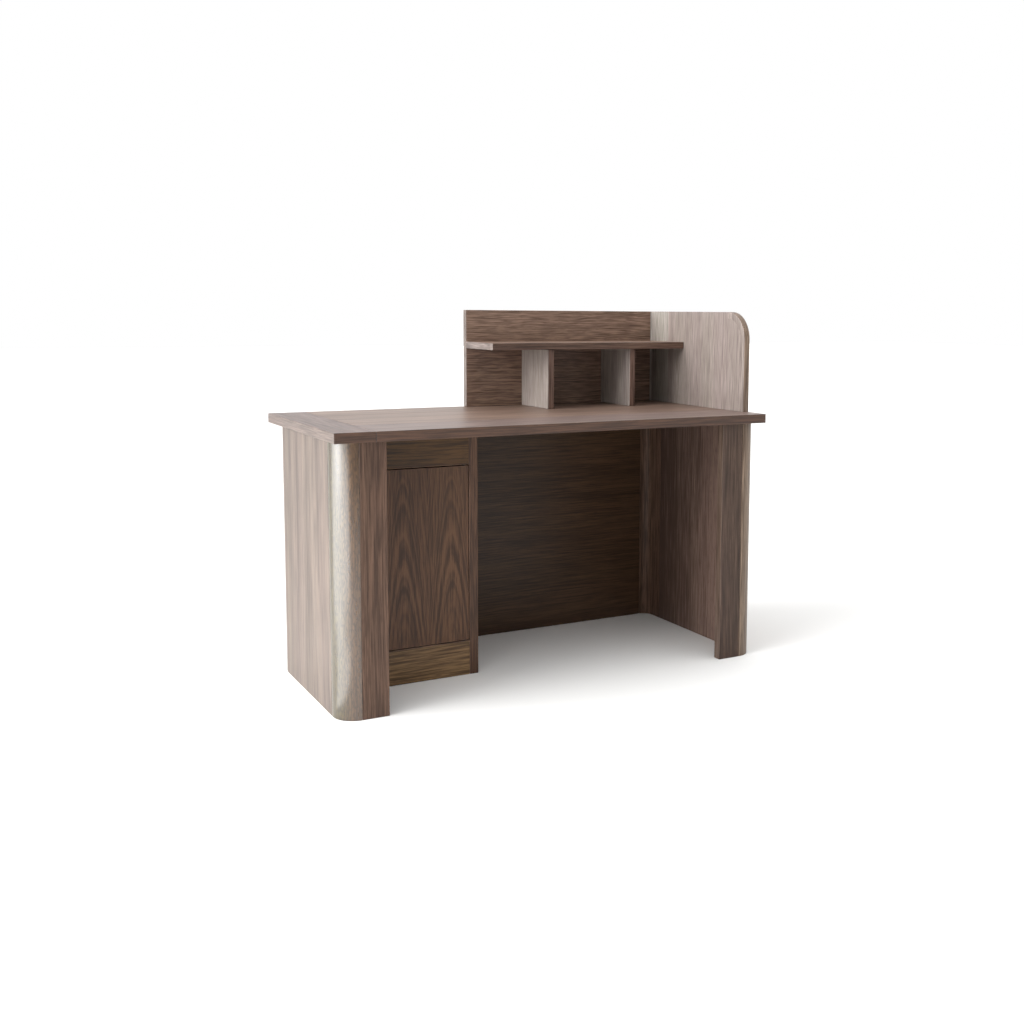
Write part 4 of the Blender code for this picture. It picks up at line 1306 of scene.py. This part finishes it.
class DESK_OT_brackets(bpy.types.Operator):
    """Model the angle brackets and their screws under the top"""

    bl_idname = "desk.brackets"
    bl_label = "Make the brackets"

    def execute(self, context):
        settings = context.scene.desk_fittings
        leg, sheet = settings.bracket_leg, settings.bracket_sheet
        low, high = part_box("top_bracket_1")
        width = high.y - low.y
        bpy.ops.object.select_all(action="DESELECT")
        bpy.ops.mesh.primitive_plane_add(size=1, location=(leg / 2, 0, 0))
        bracket = context.object
        set_name(bracket, "angle_bracket")
        bracket.scale = (leg, width, 1)
        bpy.ops.object.transform_apply(location=True, rotation=True, scale=True)
        start_edit(bracket)
        select_parts(bracket, "EDGE", lambda edge: all(vertex.co.x < leg / 2 for vertex in edge.verts))
        bpy.ops.mesh.extrude_region_move(TRANSFORM_OT_translate={"value": (0, 0, -leg)})
        select_parts(bracket, "VERT", lambda vertex: max(vertex.co.x, -vertex.co.z) > leg / 2)
        bpy.ops.mesh.bevel(offset=settings.bracket_corner, segments=CORNER_STEPS, affect="VERTICES")
        finish_mesh()
        apply_modifier(
            bracket, "BEVEL", width=settings.bracket_bend, segments=BEND_STEPS, limit_method="ANGLE"
        )
        # The sheet gets its thickness towards the inside of the bend
        normal = bracket.data.polygons[0].normal
        inside = normal.z < 0 or normal.x > 0
        apply_modifier(bracket, "SOLIDIFY", thickness=sheet, offset=1 if inside else -1)
        screw = pan_head_screw(settings)
        reach = leg - settings.screw_from_tip
        for point, way in ((Vector((reach, 0, -sheet)), -Z), (Vector((sheet, 0, -reach)), X)):
            one = copy_piece(screw, "screw")
            place_piece(one, point, way)
            join_piece(bracket, one)
        bpy.data.objects.remove(screw)
        bpy.ops.object.shade_smooth_by_angle(angle=SMOOTH_ANGLE)

        steel = zinc_plated_steel("zinc plated steel of the brackets", settings.zinc)
        for node, way in BRACKETS.items():
            low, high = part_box(node)
            middle = (low + high) / 2
            tip = Vector([high[i] if way[i] > 0 else low[i] for i in range(3)])
            corner = Vector([tip[i] - way[i] * leg if way[i] else middle[i] for i in range(3)])
            corner.z = low.z + leg
            piece = copy_piece(bracket, f"{node}_bent")
            turn = Matrix((way, Z.cross(way), Z)).transposed().to_4x4()
            put_in_place(piece, Matrix.Translation(corner) @ turn)
            stand_in(piece, node, "desk", steel)
        bpy.data.objects.remove(bracket)
        return {"FINISHED"}


class DESK_OT_latch(bpy.types.Operator):
    """Model the push latch: body with its foot, sprung plunger and two screws"""

    bl_idname = "desk.latch"
    bl_label = "Make the latch"

    def execute(self, context):
        settings = context.scene.desk_fittings
        low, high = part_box("latch_body")
        middle, size = (low + high) / 2, high - low
        half = settings.latch_width / 2
        bpy.ops.object.select_all(action="DESELECT")
        bpy.ops.mesh.primitive_cube_add(size=1, location=middle, scale=(2 * half, size.y, size.z))
        body = context.object
        set_name(body, "latch_body_moulded")
        bpy.ops.object.transform_apply(location=True, rotation=True, scale=True)
        start_edit(body)
        foot_front = high.y - settings.foot_length
        foot_top = low.z + settings.foot_sheet
        for point, normal in ((Vector((0, foot_front, 0)), Y), (Vector((0, 0, foot_top)), Z)):
            bpy.ops.mesh.select_all(action="SELECT")
            bpy.ops.mesh.bisect(plane_co=point, plane_no=normal)
        for sign, reach in ((-1, low.x), (1, high.x)):
            select_parts(
                body,
                "FACE",
                lambda face: face.normal.x * sign > ALONG_AXIS
                and face.calc_center_median().y > foot_front
                and face.calc_center_median().z < foot_top,
            )
            bpy.ops.mesh.extrude_region_move(
                TRANSFORM_OT_translate={"value": (reach - middle.x - sign * half, 0, 0)}
            )
        finish_mesh()
        plunger_low, plunger_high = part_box("latch_plunger")
        plunger_z = (plunger_low.z + plunger_high.z) / 2
        bore_end = plunger_high.y + settings.latch_travel + settings.clearance
        bore = settings.plunger_stem + settings.clearance
        bpy.ops.object.select_all(action="DESELECT")
        bpy.ops.mesh.primitive_cylinder_add(
            vertices=settings.round_steps,
            radius=bore,
            depth=2 * (bore_end - low.y),
            location=(middle.x, low.y, plunger_z),
            rotation=(QUARTER_TURN, 0, 0),
        )
        cut_away(body, context.object)
        ease_edges(body, settings.chamfer)
        plastic = moulded_plastic("moulded plastic of the latch", settings.plastic)
        stand_in(body, "latch_body", "desk", plastic)

        reach = plunger_high.y - plunger_low.y
        head = (plunger_high.x - plunger_low.x) / 2
        cap = settings.plunger_head
        cut = settings.chamfer
        profile = (
            *[(radius * head, height * cap) for radius, height in PLUNGER_FRONT],
            (head, cap - cut / 2),
            (head - cut / 2, cap),
            (settings.plunger_stem, cap),
            (settings.plunger_stem, reach - cut),
            (settings.plunger_stem - cut, reach),
        )
        plunger = turned_piece("latch_plunger_turned", profile, settings.round_steps)
        place_piece(plunger, Vector((middle.x, plunger_low.y, plunger_z)), Y)
        stand_in(plunger, "latch_plunger", "plunger", plastic)

        screw = pan_head_screw(settings)
        steel = zinc_plated_steel("zinc plated steel of the latch's screws", settings.zinc)
        for node in ("latch_screw_1", "latch_screw_2"):
            low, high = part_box(node)
            piece = copy_piece(screw, f"{node}_turned")
            seat = Vector(((low.x + high.x) / 2, (low.y + high.y) / 2, high.z - settings.screw_dome))
            place_piece(piece, seat, Z)
            stand_in(piece, node, "desk", steel)
        bpy.data.objects.remove(screw)
        return {"FINISHED"}


class DESK_OT_pins(bpy.types.Operator):
    """Model the shelf pins, and the door's pivot pins and bushes"""

    bl_idname = "desk.pins"
    bl_label = "Make the pins"

    def execute(self, context):
        settings = context.scene.desk_fittings
        steps, cut = settings.round_steps, settings.chamfer
        steel = zinc_plated_steel("zinc plated steel of the pins", settings.zinc)
        for node in ("shelf_pin_1", "shelf_pin_2", "shelf_pin_3", "shelf_pin_4"):
            low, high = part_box(node)
            length, radius = high.x - low.x, (high.z - low.z) / 2
            profile = ((radius - cut, 0), (radius, cut), (radius, length - cut), (radius - cut, length))
            piece = turned_piece(f"{node}_turned", profile, steps)
            place_piece(piece, Vector((low.x, (low.y + high.y) / 2, (low.z + high.z) / 2)), X)
            stand_in(piece, node, "desk", steel)

        # The pivot pins are darkened, painted shade, so they sit unseen in the shade of the door's gap
        shade_dark_steel = zinc_plated_steel("dull zinc plated steel of the pivots", settings.pivot_steel)
        brass = turned_brass("turned brass of the pivot bushes", settings.brass)
        pin = settings.pivot_radius
        for end, way in (("lower", Z), ("upper", -Z)):
            node = f"{end}_pivot_pin"
            low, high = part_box(node)
            middle = (low + high) / 2
            length, collar = high.z - low.z, (high.x - low.x) / 2
            bush_low, bush_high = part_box(f"{end}_pivot_bush")
            door_edge = bush_low.z - low.z if way.z > 0 else high.z - bush_high.z
            collar_top = door_edge - settings.clearance
            collar_foot = door_edge - settings.door_gap + settings.clearance
            profile = (
                (pin - cut, 0),
                (pin, cut),
                (pin, collar_foot),
                (collar - cut, collar_foot),
                (collar, collar_foot + cut),
                (collar, collar_top - cut),
                (collar - cut, collar_top),
                (pin, collar_top),
                (pin, length - cut),
                (pin - cut, length),
            )
            foot = low.z if way.z > 0 else high.z
            piece = turned_piece(f"{node}_turned", profile, steps)
            place_piece(piece, Vector((middle.x, middle.y, foot)), way)
            stand_in(piece, node, "desk", shade_dark_steel)

            node = f"{end}_pivot_bush"
            depth, sleeve = bush_high.z - bush_low.z, (bush_high.x - bush_low.x) / 2
            bore = pin + settings.clearance
            bore_depth = length - door_edge + settings.clearance
            profile = (
                (bore, bore_depth),
                (bore, cut),
                (bore + cut, 0),
                (sleeve - cut, 0),
                (sleeve, cut),
                (sleeve, depth - cut),
                (sleeve - cut, depth),
            )
            mouth = bush_low.z if way.z > 0 else bush_high.z
            piece = turned_piece(f"{node}_turned", profile, steps)
            place_piece(piece, Vector((middle.x, middle.y, mouth)), way)
            stand_in(piece, node, "door", brass)
        return {"FINISHED"}


class DESK_OT_joinery(bpy.types.Operator):
    """Finish the hidden dowels and loose tongues in bare wood"""

    bl_idname = "desk.joinery"
    bl_label = "Finish the joinery"

    def execute(self, context):
        settings = context.scene.desk_fittings
        beech = bare_wood("bare beech of the dowels", settings.beech, Z, 0)
        plywood = bare_wood("sawn plywood of the tongues", settings.plywood, X, PLY_THICKNESS)
        for node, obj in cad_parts.items():
            if "_dowel_" in node:
                dress(obj, beech)
            elif node.endswith("_tongue"):
                dress(obj, plywood)
        return {"FINISHED"}


# Roughness and specular level of the floor's matt paint
FLOOR_ROUGHNESS = 0.9
FLOOR_GLOSS = 0.1
# Rises of a sight line between which the ceiling's light comes in
CEILING_RISE = (0.2, 0.9)
# Depths of a sight line between which the open front's shade ends, and rises between which it ends too
FRONT_DEPTH = (-0.85, -0.35)
SHADE_RISE = (0.15, 0.5)


class DESK_OT_stage(bpy.types.Operator):
    """Set the floor, the light and the camera"""

    bl_idname = "desk.stage"
    bl_label = "Set the stage"

    def execute(self, context):
        settings = context.scene.desk_stage
        scene = context.scene
        bpy.ops.object.select_all(action="DESELECT")
        bpy.ops.mesh.primitive_plane_add(size=settings.floor_size, location=(0, 0, CAD_BOX[0].z))
        floor = context.object
        floor.name = "studio_floor"
        material, _, shader = new_material("matt painted floor")
        shader.inputs["Base Color"].default_value = (*settings.floor_colour, 1)
        shader.inputs["Roughness"].default_value = FLOOR_ROUGHNESS
        shader.inputs["Specular IOR Level"].default_value = FLOOR_GLOSS
        dress(floor, material)

        world = bpy.data.worlds.new("white room with a lit wall at the left")
        world.use_nodes = True
        tree = world.node_tree
        window = Vector((-math.cos(settings.window_height), 0, math.sin(settings.window_height)))
        sight = add_node(tree, "ShaderNodeTexCoord", {}, "Generated")
        depth, rise = [
            add_node(tree, "ShaderNodeSeparateXYZ", {"Vector": sight}, axis) for axis in ("Y", "Z")
        ]
        nearness = add_node(
            tree, "ShaderNodeVectorMath", {0: sight, 1: window}, "Value", operation="DOT_PRODUCT"
        )
        window_edge = (math.cos(settings.window_fade), math.cos(settings.window_core))
        room, in_front, low_down, window_glow = [
            add_node(
                tree,
                "ShaderNodeMapRange",
                {"Value": value, "From Min": start, "From Max": end, "To Min": low, "To Max": high},
                interpolation_type="SMOOTHSTEP",
            )
            for value, (start, end), low, high in (
                (rise, CEILING_RISE, settings.room_light, settings.ceiling_light),
                (depth, FRONT_DEPTH, 1, 0),
                (rise, SHADE_RISE, settings.front_shade, 0),
                (nearness, window_edge, 0, settings.window_light),
            )
        ]
        lack = add_node(tree, "ShaderNodeMath", {0: in_front, 1: low_down}, operation="MULTIPLY")
        shaded = add_node(tree, "ShaderNodeMath", {0: 1.0, 1: lack}, operation="SUBTRACT")
        light = add_node(
            tree, "ShaderNodeMath", {0: room, 1: shaded, 2: window_glow}, operation="MULTIPLY_ADD"
        )
        # The camera sees a plain white backdrop, whichever way it looks
        at_camera = add_node(tree, "ShaderNodeLightPath", {}, "Is Camera Ray")
        seen = add_node(
            tree,
            "ShaderNodeMix",
            {MIX_SHARE: at_camera, NUMBER_A: light, NUMBER_B: settings.room_light},
            NUMBER_MIX,
        )
        set_inputs(tree, tree.nodes["Background"], {"Color": (1, 1, 1, 1), "Strength": seen})
        scene.world = world

        softbox = light_panel(
            "softbox",
            settings.softbox_place,
            settings.softbox_width,
            settings.softbox_height,
            settings.softbox_light,
        )
        softbox.rotation_euler = X.to_track_quat("-Z", "Y").to_euler()
        # The reflector shows only in the lacquer, where the post's low end would mirror a dull floor
        reflector = light_panel(
            "reflector",
            settings.reflector_place,
            settings.reflector_width,
            settings.reflector_length,
            settings.reflector_light,
        )
        reflector.rotation_euler = (2 * QUARTER_TURN, 0, settings.reflector_turn)
        reflector.visible_diffuse = False

        bpy.ops.object.camera_add(location=settings.camera_place)
        camera = context.object
        camera.name = "photo_camera"
        camera.rotation_euler = (
            Matrix.Rotation(-settings.yaw, 4, "Z")
            @ Matrix.Rotation(QUARTER_TURN - settings.pitch, 4, "X")
            @ Matrix.Rotation(settings.roll, 4, "Z")
        ).to_euler()
        pixels = settings.picture_pixels
        camera.data.lens = settings.focal_pixels * camera.data.sensor_width / pixels
        camera.data.shift_x = 0.5 - settings.sight_point[0] / pixels
        camera.data.shift_y = settings.sight_point[1] / pixels - 0.5
        scene.camera = camera
        scene.view_settings.view_transform = "Standard"
        return {"FINISHED"}


GROUPS = {
    "desk_veneer": VeneerSettings,
    "desk_boards": BoardSettings,
    "desk_fittings": FittingSettings,
    "desk_stage": StageSettings,
}
STEPS = (
    DESK_OT_veneers,
    DESK_OT_bent_boards,
    DESK_OT_brackets,
    DESK_OT_latch,
    DESK_OT_pins,
    DESK_OT_joinery,
    DESK_OT_stage,
)


class DESK_PT_panel(bpy.types.Panel):
    """Settings and steps of the desk"""

    bl_label = "Reception desk"
    bl_idname = "DESK_PT_panel"
    bl_space_type = "VIEW_3D"
    bl_region_type = "UI"
    bl_category = "Desk"

    def draw(self, context):
        for group_name, group in GROUPS.items():
            box = self.layout.box()
            for name in group.__annotations__:
                box.prop(getattr(context.scene, group_name), name)
        for step in STEPS:
            self.layout.operator(step.bl_idname)


def register():
    """Register the classes and put the settings on the scene."""
    for cls in (*GROUPS.values(), *STEPS, DESK_PT_panel):
        bpy.utils.register_class(cls)
    for name, group in GROUPS.items():
        setattr(bpy.types.Scene, name, bpy.props.PointerProperty(type=group))


def unregister():
    """Take the settings and the classes away again."""
    for name in GROUPS:
        delattr(bpy.types.Scene, name)
    for cls in reversed((*GROUPS.values(), *STEPS, DESK_PT_panel)):
        bpy.utils.unregister_class(cls)


def main():
    """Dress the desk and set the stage."""
    register()
    bpy.ops.desk.veneers()
    bpy.ops.desk.bent_boards()
    bpy.ops.desk.brackets()
    bpy.ops.desk.latch()
    bpy.ops.desk.pins()
    bpy.ops.desk.joinery()
    bpy.ops.desk.stage()


if __name__ == "__main__":
    main()
